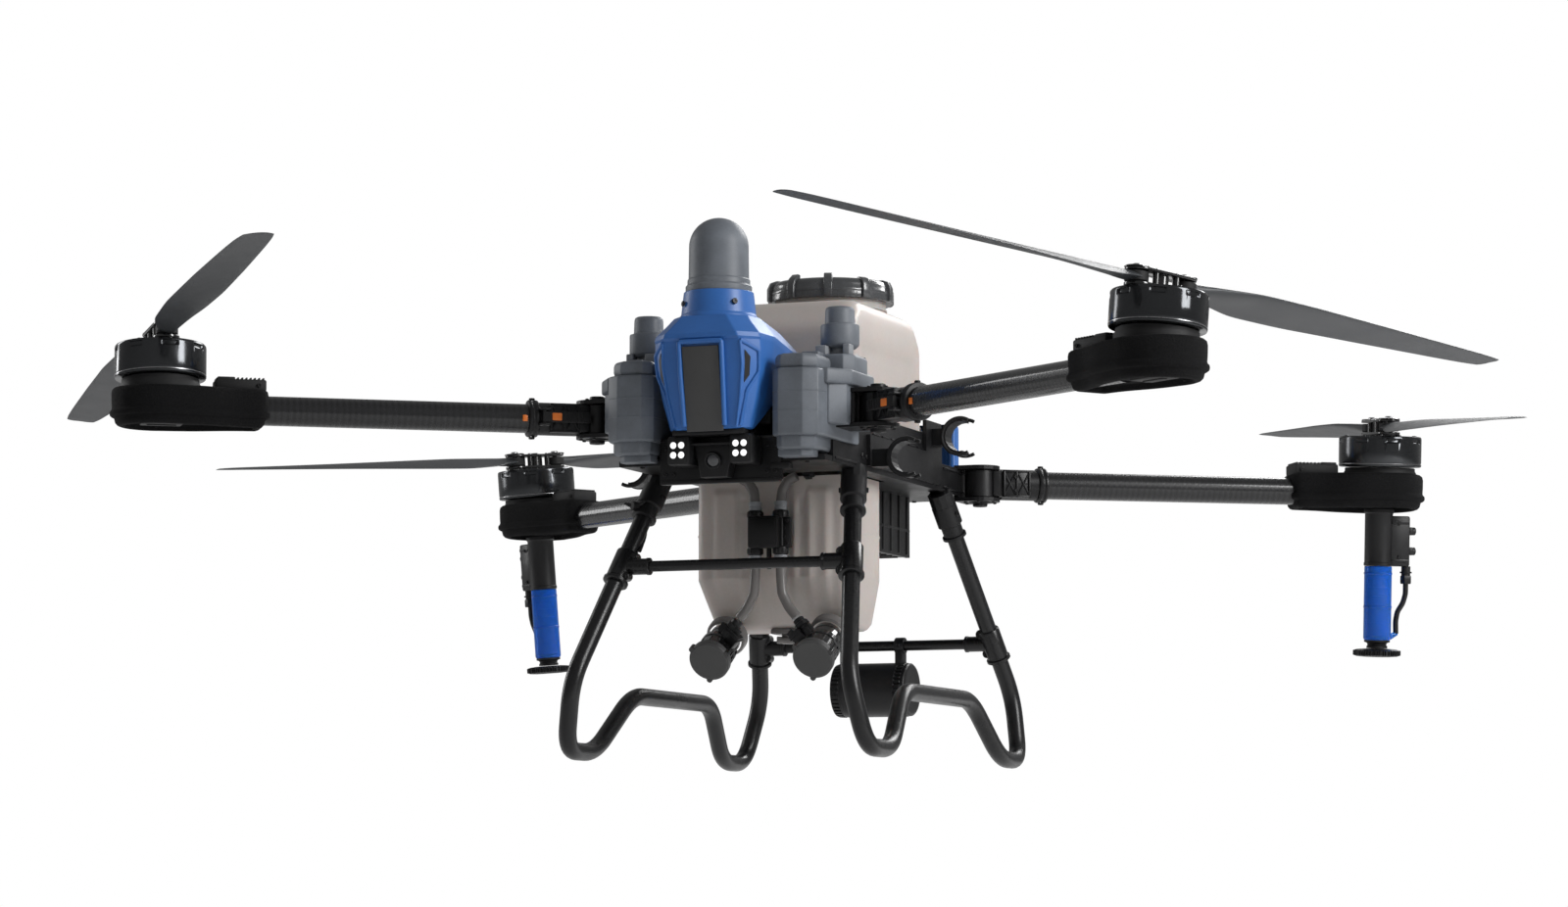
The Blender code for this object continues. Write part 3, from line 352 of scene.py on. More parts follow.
def grain_group():
    """Moulded plastic: fine spark texture, slow cloudy shade and uneven roughness."""
    tree, given, out = group("moulded grain", (
        ("Colour", "NodeSocketColor", (0.5, 0.5, 0.5, 1.0)), ("Roughness", "NodeSocketFloat", 0.5),
        ("Grain", "NodeSocketFloat", 900.0), ("Cloud", "NodeSocketFloat", 9.0),
        ("Spread", "NodeSocketFloat", 0.12)))
    spot = tree.nodes.new("ShaderNodeTexCoord").outputs["Object"]
    fine = node(tree, "ShaderNodeTexNoise", Detail=3.0, Roughness=0.6)
    slow = node(tree, "ShaderNodeTexNoise", Detail=5.0, Roughness=0.62)
    for texture, scale in ((fine, "Grain"), (slow, "Cloud")):
        tree.links.new(spot, texture.inputs["Vector"])
        tree.links.new(given.outputs[scale], texture.inputs["Scale"])
    drift = maths(tree, "SUBTRACT", slow.outputs["Fac"], 0.5)
    speck = maths(tree, "SUBTRACT", fine.outputs["Fac"], 0.5)
    both = maths(tree, "ADD", maths(tree, "MULTIPLY", drift, 1.6),
                 maths(tree, "MULTIPLY", speck, 0.9))
    swing = maths(tree, "MULTIPLY", both, given.outputs["Spread"])
    tree.links.new(shade(tree, given.outputs["Colour"], maths(tree, "ADD", swing, 0.5)),
                   out.inputs["Colour"])
    tree.links.new(maths(tree, "ADD", given.outputs["Roughness"],
                         maths(tree, "MULTIPLY", swing, 0.8)), out.inputs["Roughness"])
    tree.links.new(fine.outputs["Fac"], out.inputs["Height"])
    return tree


def felt_group():
    """Foamed rubber: coarse pits over fine fuzz, with pale lint on the tops of the fuzz."""
    tree, given, out = group("foam felt",
                             (("Colour", "NodeSocketColor", (0.02, 0.02, 0.02, 1.0)),
                              ("Roughness", "NodeSocketFloat", 0.9),
                              ("Grain", "NodeSocketFloat", 420.0),
                              ("Lint", "NodeSocketFloat", 0.5)))
    spot = tree.nodes.new("ShaderNodeTexCoord").outputs["Object"]
    fuzz = node(tree, "ShaderNodeTexNoise", Detail=6.0, Roughness=0.75)
    pits = node(tree, "ShaderNodeTexVoronoi", Randomness=1.0)
    for texture in (fuzz, pits):
        tree.links.new(spot, texture.inputs["Vector"])
        tree.links.new(given.outputs["Grain"], texture.inputs["Scale"])
    tops = node(tree, "ShaderNodeMapRange", From_Min=0.55, From_Max=0.8)
    tree.links.new(fuzz.outputs["Fac"], tops.inputs["Value"])
    lint = maths(tree, "MULTIPLY", tops.outputs[0], given.outputs["Lint"])
    tree.links.new(shade(tree, given.outputs["Colour"], lint, 0.8, 4.0), out.inputs["Colour"])
    tree.links.new(given.outputs["Roughness"], out.inputs["Roughness"])
    tree.links.new(maths(tree, "ADD", fuzz.outputs["Fac"],
                         maths(tree, "MULTIPLY", pits.outputs["Distance"], 0.6)),
                   out.inputs["Height"])
    return tree


def weave_group():
    """Two-by-two twill on the piece's own texture map, in metres.

    A cell is one tow wide. A cell shows the lengthwise tow where its column and row add up to
    0 or 1 in steps of four, else the crosswise tow; each tow is a half round across its width.
    The colour carries a painted sheen: lengthwise tows and the crown of each tow are lighter.
    """
    tree, given, out = group("carbon twill",
                             (("Colour", "NodeSocketColor", (0.02, 0.02, 0.02, 1.0)),
                              ("Roughness", "NodeSocketFloat", 0.3),
                              ("Tow", "NodeSocketFloat", 0.003),
                              ("Contrast", "NodeSocketFloat", 0.6)))
    parts = tree.nodes.new("ShaderNodeSeparateXYZ")
    tree.links.new(tree.nodes.new("ShaderNodeTexCoord").outputs["UV"], parts.inputs[0])
    turned_u = maths(tree, "ADD", parts.outputs["X"], parts.outputs["Y"])
    turned_v = maths(tree, "SUBTRACT", parts.outputs["X"], parts.outputs["Y"])
    u = maths(tree, "DIVIDE", turned_u, given.outputs["Tow"])
    v = maths(tree, "DIVIDE", turned_v, given.outputs["Tow"])
    total = maths(tree, "ADD", maths(tree, "FLOOR", u), maths(tree, "FLOOR", v))
    place = maths(tree, "FLOORED_MODULO", total, 4.0)
    lengthwise = maths(tree, "LESS_THAN", place, 1.5)
    across_u = maths(tree, "SINE", maths(tree, "MULTIPLY", maths(tree, "FRACT", u), math.pi))
    across_v = maths(tree, "SINE", maths(tree, "MULTIPLY", maths(tree, "FRACT", v), math.pi))
    crosswise = maths(tree, "SUBTRACT", 1.0, lengthwise)
    bulge = maths(tree, "ADD", maths(tree, "MULTIPLY", across_v, lengthwise),
                  maths(tree, "MULTIPLY", across_u, crosswise))
    # Painted sheen: lengthwise tows and the crown of each tow are painted lighter.
    painted_sheen = maths(tree, "MULTIPLY", maths(tree, "ADD", maths(tree, "MULTIPLY", lengthwise, 0.7),
                                         maths(tree, "MULTIPLY", bulge, 0.5)),
                 given.outputs["Contrast"])
    tree.links.new(shade(tree, given.outputs["Colour"], painted_sheen, 0.55, 3.2), out.inputs["Colour"])
    tree.links.new(maths(tree, "ADD", given.outputs["Roughness"],
                         maths(tree, "MULTIPLY", crosswise, 0.08)), out.inputs["Roughness"])
    tree.links.new(bulge, out.inputs["Height"])
    return tree


FINISHES = {}
SLOTS = {
    "soft black": "moulded_black", "satin black": "moulded_black", "milky tank": "tank_milky",
    "clear hose": "hose_clear", "smoke cap": "cap_smoke", "cowl blue": "cowl_blue",
    "window grey": "window_grey", "cover grey": "cover_grey", "lamp white": "moulded_black",
    "lens glass": "moulded_black", "motor bell": "motor_gloss", "gloss black": "moulded_black",
    "bright metal": "motor_gloss", "boot foam": "boot_black", "carbon tube": "carbon_tube",
    "orange tab": "moulded_black", "coated tube": "tube_black", "light cover grey": "cover_grey",
    "tank painted shade": "tank_milky", "clear blue": "clear_blue", "inner blue": "clear_blue",
    "blade composite": "blade_grey"}


def finish(name, tree, colour, roughness, height=0.15, depth=0.0004, settings=(), **shader_values):
    """A material: the group's colour and roughness in a Principled shader, its height as a bump."""
    made = bpy.data.materials.new(name)
    made.use_nodes = True
    nodes = made.node_tree
    shader = nodes.nodes["Principled BSDF"]
    pattern = nodes.nodes.new("ShaderNodeGroup")
    pattern.node_tree = tree
    pattern.inputs["Colour"].default_value = (*colour, 1.0)
    pattern.inputs["Roughness"].default_value = roughness
    for key, value in settings:
        pattern.inputs[key].default_value = value
    nodes.links.new(pattern.outputs["Colour"], shader.inputs["Base Color"])
    nodes.links.new(pattern.outputs["Roughness"], shader.inputs["Roughness"])
    bump = node(nodes, "ShaderNodeBump", Strength=height, Distance=depth)
    nodes.links.new(pattern.outputs["Height"], bump.inputs["Height"])
    nodes.links.new(bump.outputs["Normal"], shader.inputs["Normal"])
    for key, value in shader_values.items():
        shader.inputs[key.replace("_", " ")].default_value = value
    FINISHES[name] = made
    return made


def mix(colour, other, share):
    return tuple(a * (1 - share) + b * share for a, b in zip(colour, other))


def make_finishes(colours, sizes):
    grain, felt, weave = grain_group(), felt_group(), weave_group()
    black, cover = tuple(colours.black), tuple(colours.cover)
    finish("satin black", grain, black, 0.4, 0.25, settings=(("Grain", 1100.0), ("Spread", 0.5)),
           Specular_IOR_Level=0.32)
    finish("soft black", grain, mix(black, (0.02, 0.02, 0.02), 0.3), 0.62, 0.35,
           settings=(("Grain", 700.0), ("Spread", 0.5)), Specular_IOR_Level=0.3)
    finish("coated tube", grain, mix(black, (0, 0, 0), 0.1), 0.3, 0.12,
           settings=(("Grain", 1500.0), ("Cloud", 5.0), ("Spread", 0.35)), Specular_IOR_Level=0.4)
    finish("gloss black", grain, mix(black, (0, 0, 0), 0.2), 0.14, 0.04,
           settings=(("Spread", 0.3),), Coat_Weight=0.5, Coat_Roughness=0.05)
    finish("boot foam", felt, mix(black, (0, 0, 0), 0.35), 0.92, 0.9, 0.0012,
           Specular_IOR_Level=0.2)
    finish("carbon tube", weave, mix(black, (0, 0, 0), 0.15), 0.26, 0.12, 0.0003,
           settings=(("Tow", sizes.weave),), Specular_IOR_Level=0.3, Coat_Weight=0.45,
           Coat_Roughness=0.08)
    finish("motor bell", grain, (0.05, 0.052, 0.055), 0.15, 0.03, settings=(("Spread", 0.25),),
           Metallic=0.85)
    finish("bright metal", grain, (0.42, 0.42, 0.43), 0.28, 0.05, settings=(("Spread", 0.2),),
           Metallic=1.0)
    finish("blade composite", grain, tuple(colours.blade), 0.46, 0.35, 0.0005,
           settings=(("Grain", 650.0), ("Cloud", 14.0), ("Spread", 0.18)))
    finish("cowl blue", grain, tuple(colours.cowl), 0.4, 0.16,
           settings=(("Grain", 850.0), ("Spread", 0.16)))
    finish("cover grey", grain, cover, 0.5, 0.22,
           settings=(("Grain", 900.0), ("Cloud", 22.0), ("Spread", 0.3)))
    finish("light cover grey", grain, mix(cover, (0.5, 0.5, 0.5), 0.22), 0.5, 0.22,
           settings=(("Grain", 900.0), ("Cloud", 22.0), ("Spread", 0.35)))
    finish("window grey", grain, (0.052, 0.052, 0.052), 0.48, 0.2, settings=(("Spread", 0.15),))
    finish("milky tank", grain, tuple(colours.tank), 0.42, 0.06,
           settings=(("Grain", 260.0), ("Cloud", 5.0), ("Spread", 0.1)),
           Subsurface_Weight=0.25, Subsurface_Scale=0.02)
    # A darker copy of the tank plastic: painted shade for the tank's front-facing ledges.
    finish("tank painted shade", grain, mix(tuple(colours.tank), (0.1, 0.08, 0.07), 0.72), 0.5, 0.2)
    finish("smoke cap", grain, (0.05, 0.052, 0.055), 0.22, 0.08,
           settings=(("Cloud", 30.0), ("Spread", 0.35)), Coat_Weight=0.4, Coat_Roughness=0.08)
    finish("clear hose", grain, (0.2, 0.19, 0.185), 0.2, 0.05, settings=(("Spread", 0.2),),
           Transmission_Weight=0.35, IOR=1.4)
    finish("clear blue", grain, tuple(colours.nozzle), 0.1, 0.04, settings=(("Spread", 0.1),),
           Transmission_Weight=0.72, IOR=1.3)
    finish("inner blue", grain, mix(tuple(colours.nozzle), (0.005, 0.03, 0.14), 0.55), 0.35, 0.05)
    finish("lamp white", grain, (0.85, 0.86, 0.88), 0.25, 0.05, settings=(("Spread", 0.05),),
           Emission_Color=(1.0, 1.0, 1.0, 1.0), Emission_Strength=0.9)
    finish("lens glass", grain, (0.02, 0.022, 0.026), 0.05, 0.01, Coat_Weight=1.0,
           Coat_Roughness=0.02)
    finish("orange tab", grain, tuple(colours.tab), 0.42, 0.1)


CAD_FINISHES = (
    ("chassis", "satin black"), ("arm_rest", "satin black"), ("battery", "satin black"),
    ("terrain_radar", "satin black"), ("camera", "satin black"), ("flow_meter", "satin black"),
    ("headlamp", "satin black"), ("pump", "gloss black"), ("latch", "satin black"),
    ("nozzle_body", "satin black"), ("nozzle_disc", "satin black"), ("nozzle_tube", "clear blue"),
    ("nozzle_hose", "coated tube"), ("skid", "coated tube"), ("front_cross", "coated tube"),
    ("rear_cross", "coated tube"), ("motor_pod", "boot foam"), ("motor_bell", "motor bell"),
    ("blade", "blade composite"), ("arm_", "satin black"), ("nose_shell", "cowl blue"),
    ("tail_shell", "cowl blue"), ("nose_window", "window grey"), ("shoulder", "cover grey"),
    ("antenna", "cover grey"), ("mast_dome", "cover grey"), ("tank_cap", "smoke cap"),
    ("tank", "milky tank"), ("riser_hose", "clear hose"))


def dress_cad_nodes():
    for name, made in frame["nodes"].items():
        look = next(look for start, look in CAD_FINISHES if name.startswith(start))
        made.data.materials.clear()
        made.data.materials.append(FINISHES[look])


# ---- stage ---------------------------------------------------------------------------------
def make_stage(drop):
    """A wide flat pale floor, soft lights and the camera."""
    low = CAD_BOX[0][2] - drop
    glow, fill_strength = 0.45, 0.27    # what the camera sees the floor give off; light of the sky
    line = soft([(-30.0, 0.0), (30.0, 0.0)], 0.1)
    across = bow(3, -30.0, 30.0)
    points = np.stack([np.stack([x + 0 * across, across, low + 0 * across], axis=-1)
                       for x in line[:, 0]])
    flat, quads = surface(points, wrap=False, place=np.eye(4))[:2]
    mesh = bpy.data.meshes.new("floor")
    mesh.from_pydata(flat.tolist(), [], quads.tolist())
    floor = bpy.data.objects.new("floor", mesh)
    bpy.context.scene.collection.objects.link(floor)
    look = bpy.data.materials.new("floor paper")
    look.use_nodes = True
    paper = look.node_tree.nodes["Principled BSDF"].inputs
    paper["Base Color"].default_value = (0.9, 0.9, 0.9, 1)
    paper["Roughness"].default_value = 0.9
    paper["Emission Color"].default_value = (1, 1, 1, 1)
    straight = look.node_tree.nodes.new("ShaderNodeLightPath").outputs["Is Camera Ray"]
    look.node_tree.links.new(maths(look.node_tree, "MULTIPLY", straight, glow),
                             paper["Emission Strength"])
    mesh.materials.append(look)
    world = bpy.data.worlds.new("studio")
    world.use_nodes = True
    sky = world.node_tree.nodes["Background"]
    sky.inputs["Color"].default_value = (1.0, 1.0, 1.0, 1.0)
    seen = world.node_tree.nodes.new("ShaderNodeLightPath").outputs["Is Camera Ray"]
    fill = world.node_tree.nodes.new("ShaderNodeMapRange")
    fill.inputs["To Min"].default_value = fill_strength
    world.node_tree.links.new(seen, fill.inputs["Value"])
    world.node_tree.links.new(fill.outputs[0], sky.inputs["Strength"])
    bpy.context.scene.world = world
    for name, spot, aim, size, power in (
            ("key", (4.6, -1.2, 1.9), (0, 0, 0.1), (1.6, 2.6), 200.0),
            ("rim", (1.2, 3.6, 2.6), (0, 0, 0.1), (3.0, 1.2), 100.0),
            ("side", (-4.2, 0.4, 1.2), (0, 0, 0.0), (0.8, 2.4), 40.0)):
        light = bpy.data.lights.new(name, "AREA")
        light.shape = "RECTANGLE"
        light.size, light.size_y = size
        light.energy = power
        holder = bpy.data.objects.new(name, light)
        holder.location = spot
        holder.rotation_euler = (Vector(aim) - Vector(spot)).to_track_quat("-Z", "Y").to_euler()
        bpy.context.scene.collection.objects.link(holder)
    camera = bpy.data.cameras.new("camera")
    camera.lens = 95.1
    camera.sensor_width = 36.0
    stand = bpy.data.objects.new("camera", camera)
    stand.location = (2.074, -5.502, -0.568)
    look_at = Vector((-0.029, -0.034, 0.045)) - stand.location
    stand.rotation_euler = look_at.to_track_quat("-Z", "Y").to_euler()
    bpy.context.scene.collection.objects.link(stand)
    bpy.context.scene.camera = stand
    bpy.context.scene.view_settings.view_transform = "Standard"


# ---- arms, motors and blades ---------------------------------------------------------------
class Quarter:
    """One arm's frames, read from its joints: root at the fold pin, X along the arm."""

    def __init__(self, name):
        fold, spin = JOINTS[f"fold_{name}"], JOINTS[f"spin_{name}"]
        self.name = name
        self.axis = np.array(spin["axis"], float)
        self.motor = np.array(spin["pos_m"], float) - 0.06 * self.axis
        self.root = np.array(fold["pos_m"], float)
        run = self.motor - self.root
        self.reach = math.hypot(run[0], run[1])
        self.turn = int(round(fold["axis"][2]))
        self.arm = frame_at(self.root, (0, 0, 1), run)
        self.rotor = frame_at(self.motor, self.axis, run)
        self.rear = name.startswith("rear")

    def pin(self, letter):
        """The blade's frame: at its pin, X away from the motor's axis."""
        at = np.array(JOINTS[f"blade_{letter}_fold_{self.name}"]["pos_m"], float)
        away = at - self.motor - self.axis * np.dot(at - self.motor, self.axis)
        return frame_at(at, self.axis, away)

    def park(self):
        """The rotor's frame turned so that X runs through blade a's pin."""
        return frame_at(self.motor, self.axis, self.pin("a")[:3, 0])


def eased(x, places, values):
    """Values at places joined by straight runs, then smoothed five times over neighbours."""
    line = np.interp(x, places, values)
    for _ in range(5):
        line[1:-1] = 0.25 * line[:-2] + 0.5 * line[1:-1] + 0.25 * line[2:]
    return line


def blade_surface(place, spin, segments):
    """A blade: an aerofoil of 36 points carried out from the pin.

    The section is c(0.4 - (1 - cos t)/2) across and h sin t (1 + 0.5 cos t)/2 up plus a camber
    of 0.03c(1 - (2x/c + 0.2)^2), which fades in from 30 to 110 mm out, all turned by the pitch.
    Chord c, thickness h and pitch follow the distance from the pin.
    """
    out = np.concatenate([bow(10, 0.004, 0.04), bow(segments, 0.048, 0.5535), (0.5562, 0.5575)])
    places = (0.0, 0.02, 0.045, 0.115, 0.21, 0.35, 0.48, 0.544, 0.5575)
    chord = eased(out, places, (0.024, 0.026, 0.04, 0.071, 0.077, 0.067, 0.054, 0.045, 0.034))
    thick = eased(out, places, (0.0125, 0.0122, 0.01, 0.007, 0.0055, 0.0042, 0.0034, 0.003,
                                0.0012))
    pitch = np.radians(eased(out, places, (4, 8, 17, 15.5, 12.5, 9.3, 6.8, 5.2, 5)))
    chord[-2:] *= (0.86, 0.6)
    t = np.arange(36) * TAU / 36
    across = 0.4 - (1 - np.cos(t)) / 2
    up = 0.5 * np.sin(t) * (1 + 0.5 * np.cos(t))
    camber = 0.03 * (1 - (2 * (across + 0.1)) ** 2) * np.clip((out[:, None] - 0.03) / 0.08, 0, 1)
    c, h, a = chord[:, None], thick[:, None], pitch[:, None]
    y = across * c * np.cos(a) - (up * h + camber * c) * np.sin(a)
    z = across * c * np.sin(a) + (up * h + camber * c) * np.cos(a)
    return surface(np.stack([out[:, None] + 0 * y, spin * y, z], axis=-1), place=place)


def make_blades(sizes):
    for name in PLACES:
        quarter = Quarter(name)
        for letter in "ab":
            place = quarter.pin(letter)
            spin = -quarter.turn
            piece(f"blade_{letter}_{name}_skin", [blade_surface(place, spin, sizes.blade_segments)],
                  "blade composite", f"blade_{letter}_{name}", (f"blade_{letter}_{name}",), 50)
            eye = [(0.005, -0.0062), (0.0142, -0.0062), (0.015, -0.0052), (0.015, 0.0052),
                   (0.0142, 0.0062), (0.005, 0.0062)]
            piece(f"blade_{letter}_{name}_root", [turned(eye, 40, place, ring=True)], "soft black",
                  f"blade_{letter}_{name}", slot="blade_grey")


def bell_surface(place):
    """The motor bell: radius R less a notch wherever cos(8 turn) is high near the top rim.

    Notch depth is 2.4 mm times a soft step in turn and a soft step in height.
    """
    height = np.array([0.0392, 0.0398, 0.0412, 0.0426, 0.0434, 0.0442, 0.046, 0.06, 0.0738,
                       0.0744, 0.0762, 0.079, 0.0806, 0.0814, 0.0832, 0.0846, 0.085, 0.085])
    radius = np.array([0.0585, 0.0606, 0.0612, 0.0612, 0.0603, 0.0606, 0.0612, 0.0613, 0.0613,
                       0.0613, 0.0613, 0.0613, 0.0613, 0.0612, 0.0609, 0.0598, 0.0575, 0.048])
    turn = np.arange(256) * TAU / 256
    lobe = np.clip((np.cos(8 * turn) - 0.15) * 6.0, 0, 1)
    band = np.clip((height - 0.0741) / 0.0006, 0, 1) * np.clip((0.0812 - height) / 0.0006, 0, 1)
    r = radius[:, None] - 0.0024 * band[:, None] * lobe[None, :]
    points = np.stack([r * np.cos(turn), r * np.sin(turn), height[:, None] + 0 * r], axis=-1)
    return surface(points, place=place)


def stadium(half, radius, count=15):
    """An outline of two half circles of a radius whose centres lie at plus and minus half."""
    a = np.linspace(-TAU / 4, TAU / 4, count)
    right = np.stack([half + radius * np.cos(a), radius * np.sin(a)], axis=1)
    return np.vstack([right, -right])


def make_motors():
    for name in PLACES:
        quarter = Quarter(name)
        place = quarter.park()
        body = f"rotor_{name}"
        piece(f"bell_{name}", [bell_surface(place)], "motor bell", body, (f"motor_bell_{name}",),
              40)
        hub = [prism(stadium(0.037, 0.0175), 0.0868, 0.0912, 0.001, place),
               prism(stadium(0.037, 0.0172), 0.106, 0.1098, 0.0012, place),
               *(turned([(0.016, 0.1096), (0.016, 0.1108), (0.0145, 0.1118), (0.004, 0.1118)], 32,
                        place, (x, 0, 0)) for x in (0.04, -0.04)),
               turned([(0.01, 0.085), (0.01, 0.1065), (0.006, 0.112)], 32, place)]
        for x in (0.04, -0.04):
            hub.append(turned([(0.0125, 0.0848), (0.0125, 0.0872)], 28, place, (x, 0, 0)))
            hub.append(turned([(0.0038, 0.09), (0.0038, 0.107)], 20, place, (x, 0, 0)))
        for x in (-0.017, 0.017):
            for y in (-0.01, 0.01):
                hub.append(turned([(0.0042, 0.0848), (0.0042, 0.1064)], 18, place, (x, y, 0)))
        for turn in np.arange(6) * TAU / 6:
            hub.append(turned([(0.0035, 0.0846), (0.0035, 0.0862), (0.0028, 0.0868)], 14, place,
                              (0.0505 * math.cos(turn + 0.26), 0.0505 * math.sin(turn + 0.26), 0)))
        piece(f"hub_{name}", hub, "gloss black", body, slot="motor_gloss")
        pins = [screw((side * 0.04, 0, 0.1117), (0, 0, 1), 0.0058, 0.003, place)
                for side in (1, -1)]
        pins += [screw((x, y, 0.1097), (0, 0, 1), 0.003, 0.0018, place)
                 for x in (-0.017, 0.017) for y in (-0.01, 0.01)]
        pins.append(turned([(0.0606, 0.0426), (0.0614, 0.0428), (0.0614, 0.0436), (0.0606, 0.0438)],
                           128, place, ring=True))
        piece(f"hub_screws_{name}", pins, "bright metal", body)


def boot_outline():
    """The boot from above: a half ellipse outboard, straight flanks in to the tail."""
    a = np.radians(np.linspace(-86, 86, 41))
    nose = np.stack([0.066 * np.cos(a), 0.064 * np.sin(a)], axis=1)
    tail = soft([(-0.004, 0.064), (-0.055, 0.056), (-0.1, 0.0385), (-0.144, 0.033),
                 (-0.144, -0.033), (-0.1, -0.0385), (-0.055, -0.056), (-0.004, -0.064)],
                0.016, 5)
    return np.vstack([nose, tail[:-1]])


def make_boots():
    for name in PLACES:
        quarter = Quarter(name)
        place = quarter.arm @ frame_at((quarter.reach, 0, 0))
        rows = [(0.03, 0.0262), (0.009, 0.0262), (0.0045, 0.0252), (0.0018, 0.0228),
                (0.0008, 0.018), (0.0012, 0.006), (0.0018, -0.002), (0.001, -0.0048),
                (-0.0008, -0.0062), (-0.0014, -0.009), (-0.0008, -0.0118), (0.0012, -0.0134),
                (0.0042, -0.0142), (0.0052, -0.017), (0.0064, -0.0215), (0.0092, -0.0245),
                (0.0128, -0.0258), (0.0168, -0.0256), (0.0182, -0.024), (0.019, -0.019),
                (0.0215, -0.018)]
        body = f"arm_{name}"
        boot = [stack(boot_outline(), rows, place)]
        piece(f"boot_{name}", boot, "boot foam", body, (f"motor_pod_{name}",), 60)
        hard = [turned([(0.054, 0.018), (0.054, 0.03), (0.052, 0.0335), (0.052, 0.0372),
                        (0.0505, 0.038), (0.01, 0.038)], 64, quarter.rotor),
                block((-0.14, -0.0215, 0.024), (-0.072, 0.0215, 0.04), 0.0025, place),
                block((-0.098, -0.019, 0.038), (-0.074, 0.019, 0.0432), 0.0015, place)]
        for x in bow(7, -0.136, -0.102):
            hard.append(block((x - 0.0011, -0.0195, 0.039), (x + 0.0011, 0.0195, 0.0425), 0.0005,
                              place))
        for side in (1, -1):
            hard.append(screw((-0.13, side * 0.0225, 0.032), (0, side, 0), 0.0028, 0.0018, place))
            for x in (-0.02, 0.0, 0.022):
                hard.append(screw((x, side * 0.047, -0.02), (0, 0, -1), 0.0034, 0.0015, place))
        if not quarter.rear:
            hard += [block((-0.03, -0.018, -0.0225), (0.026, 0.018, -0.0178), 0.002, place),
                     block((-0.022, -0.004, -0.024), (0.018, 0.004, -0.0215), 0.0012, place)]
        piece(f"motor_seat_{name}", hard, "soft black", body, slot="boot_black")


def weave_tube(start, end, radius, place, sides=64):
    """A round tube of equal steps along X, whose texture map is unrolled in metres."""
    x = bow(24, start, end)
    path = np.stack([x, 0 * x, 0 * x], axis=1)
    return tube(path, radius, sides, place, up=(0, 0, 1))


def ribbed_box(place, low, high, depth=0.0022):
    """A thin box whose broad face carries a frame, two uprights and two crossing ribs."""
    shells = [block(low, high, 0.0015, place)]
    x0, y0, z0 = low
    x1, y1, z1 = high
    face = y1 if abs(y1) > abs(y0) else y0
    out = math.copysign(depth, face)
    edge = 0.003
    for a, b in (((x0, z0), (x1, z0 + edge)), ((x0, z1 - edge), (x1, z1)),
                 ((x0, z0), (x0 + edge, z1)), ((x1 - edge, z0), (x1, z1)),
                 (((x0 + x1) / 2 - edge / 2, z0), ((x0 + x1) / 2 + edge / 2, z1))):
        shells.append(block((a[0], face - out * 0.3, a[1]), (b[0], face + out, b[1]), 0.0006,
                            place))
    middle = (x0 + x1) / 2
    for left, right in ((x0, middle), (middle, x1)):
        for low_z, high_z in ((z0, z1), (z1, z0)):
            shells.append(rod((left + 0.002, face, low_z * 0.9 + high_z * 0.1),
                              (right - 0.002, face, high_z * 0.9 + low_z * 0.1), 0.0016, 8,
                              place=place))
    return shells


def make_arms(sizes):
    for name in PLACES:
        quarter = Quarter(name)
        place, turn, body = quarter.arm, quarter.turn, f"arm_{name}"
        radius = sizes.arm_radius
        piece(f"carbon_{name}", [weave_tube(0.07, quarter.reach - 0.06, radius, place)],
              "carbon tube", body, (f"arm_{name}",))
        sleeve = [turned([(0.0207, 0.028), (0.0226, 0.03), (0.0226, 0.084), (0.0212, 0.086)], 48,
                         place @ frame_at((0, 0, 0), (1, 0, 0))),
                  turned([(0.02, 0.084), (0.0248, 0.085), (0.0256, 0.0866), (0.0256, 0.0894),
                          (0.0248, 0.0904), (0.0244, 0.0922), (0.0248, 0.094), (0.0256, 0.095),
                          (0.0256, 0.0972), (0.0248, 0.0985), (0.02, 0.099)], 48,
                         place @ frame_at((0, 0, 0), (1, 0, 0)), ring=True),
                  turned([(0.0215, -0.0198), (0.0224, -0.019), (0.0224, 0.019), (0.0215, 0.0198),
                          (0.007, 0.0198), (0.007, -0.0198)], 40, place, ring=True),
                  block((0.014, -0.02, -0.0192), (0.04, 0.02, 0.0192), 0.003, place)]
        sleeve += ribbed_box(place, (0.029, 0.0, -0.02), (0.07, turn * 0.0225, 0.02))
        sleeve += ribbed_box(place, (0.029, 0.0, -0.02), (0.07, -turn * 0.0215, 0.02), 0.0012)
        for z in (-0.0105, 0.0105):
            sleeve.append(block((0.072, -turn * 0.016, z - 0.0016),
                                (0.087, -turn * 0.0345, z + 0.0016), 0.001, place))
        for up in (1, -1):
            sleeve.append(screw((0.092, 0, up * 0.0254), (0, 0, up), 0.0042, 0.003, place))
        for z in (-0.01, 0.01):
            sleeve.append(screw((0.048, turn * 0.0245, z), (0, turn, 0), 0.003, 0.0016, place))
        piece(f"arm_sleeve_{name}", sleeve, "satin black", body, slot="carbon_tube")
        lever = [prism([(0.015, -turn * 0.0262), (0.03, -turn * 0.0255), (0.082, -turn * 0.0262),
                        (0.082, -turn * 0.0325), (0.072, -turn * 0.0345), (0.024, -turn * 0.0335),
                        (0.015, -turn * 0.03)], -0.0072, 0.0072, 0.0012, place)]
        for x in bow(5, 0.026, 0.05):
            lever.append(block((x, -turn * 0.0325, -0.0068), (x + 0.0022, -turn * 0.0348, 0.0068),
                               0.0006, place))
        lever.append(rod((0.0795, -turn * 0.0295, -0.0128), (0.0795, -turn * 0.0295, 0.0128), 0.003,
                         16, place=place))
        piece(f"latch_lever_{name}", lever, "soft black", f"latch_{name}", (f"latch_{name}",))
        tab = [block((0.0565, -turn * 0.0332, -0.0052), (0.07, -turn * 0.0358, 0.0052), 0.0012,
                     place)]
        piece(f"latch_tab_{name}", tab, "orange tab", f"latch_{name}")
        if not quarter.rear:
            mark = [block((0.1015, -turn * 0.0188, -0.0058), (0.1085, -turn * 0.0215, 0.003), 0.001,
                          place)]
            piece(f"arm_mark_{name}", mark, "orange tab", body, slot="carbon_tube")


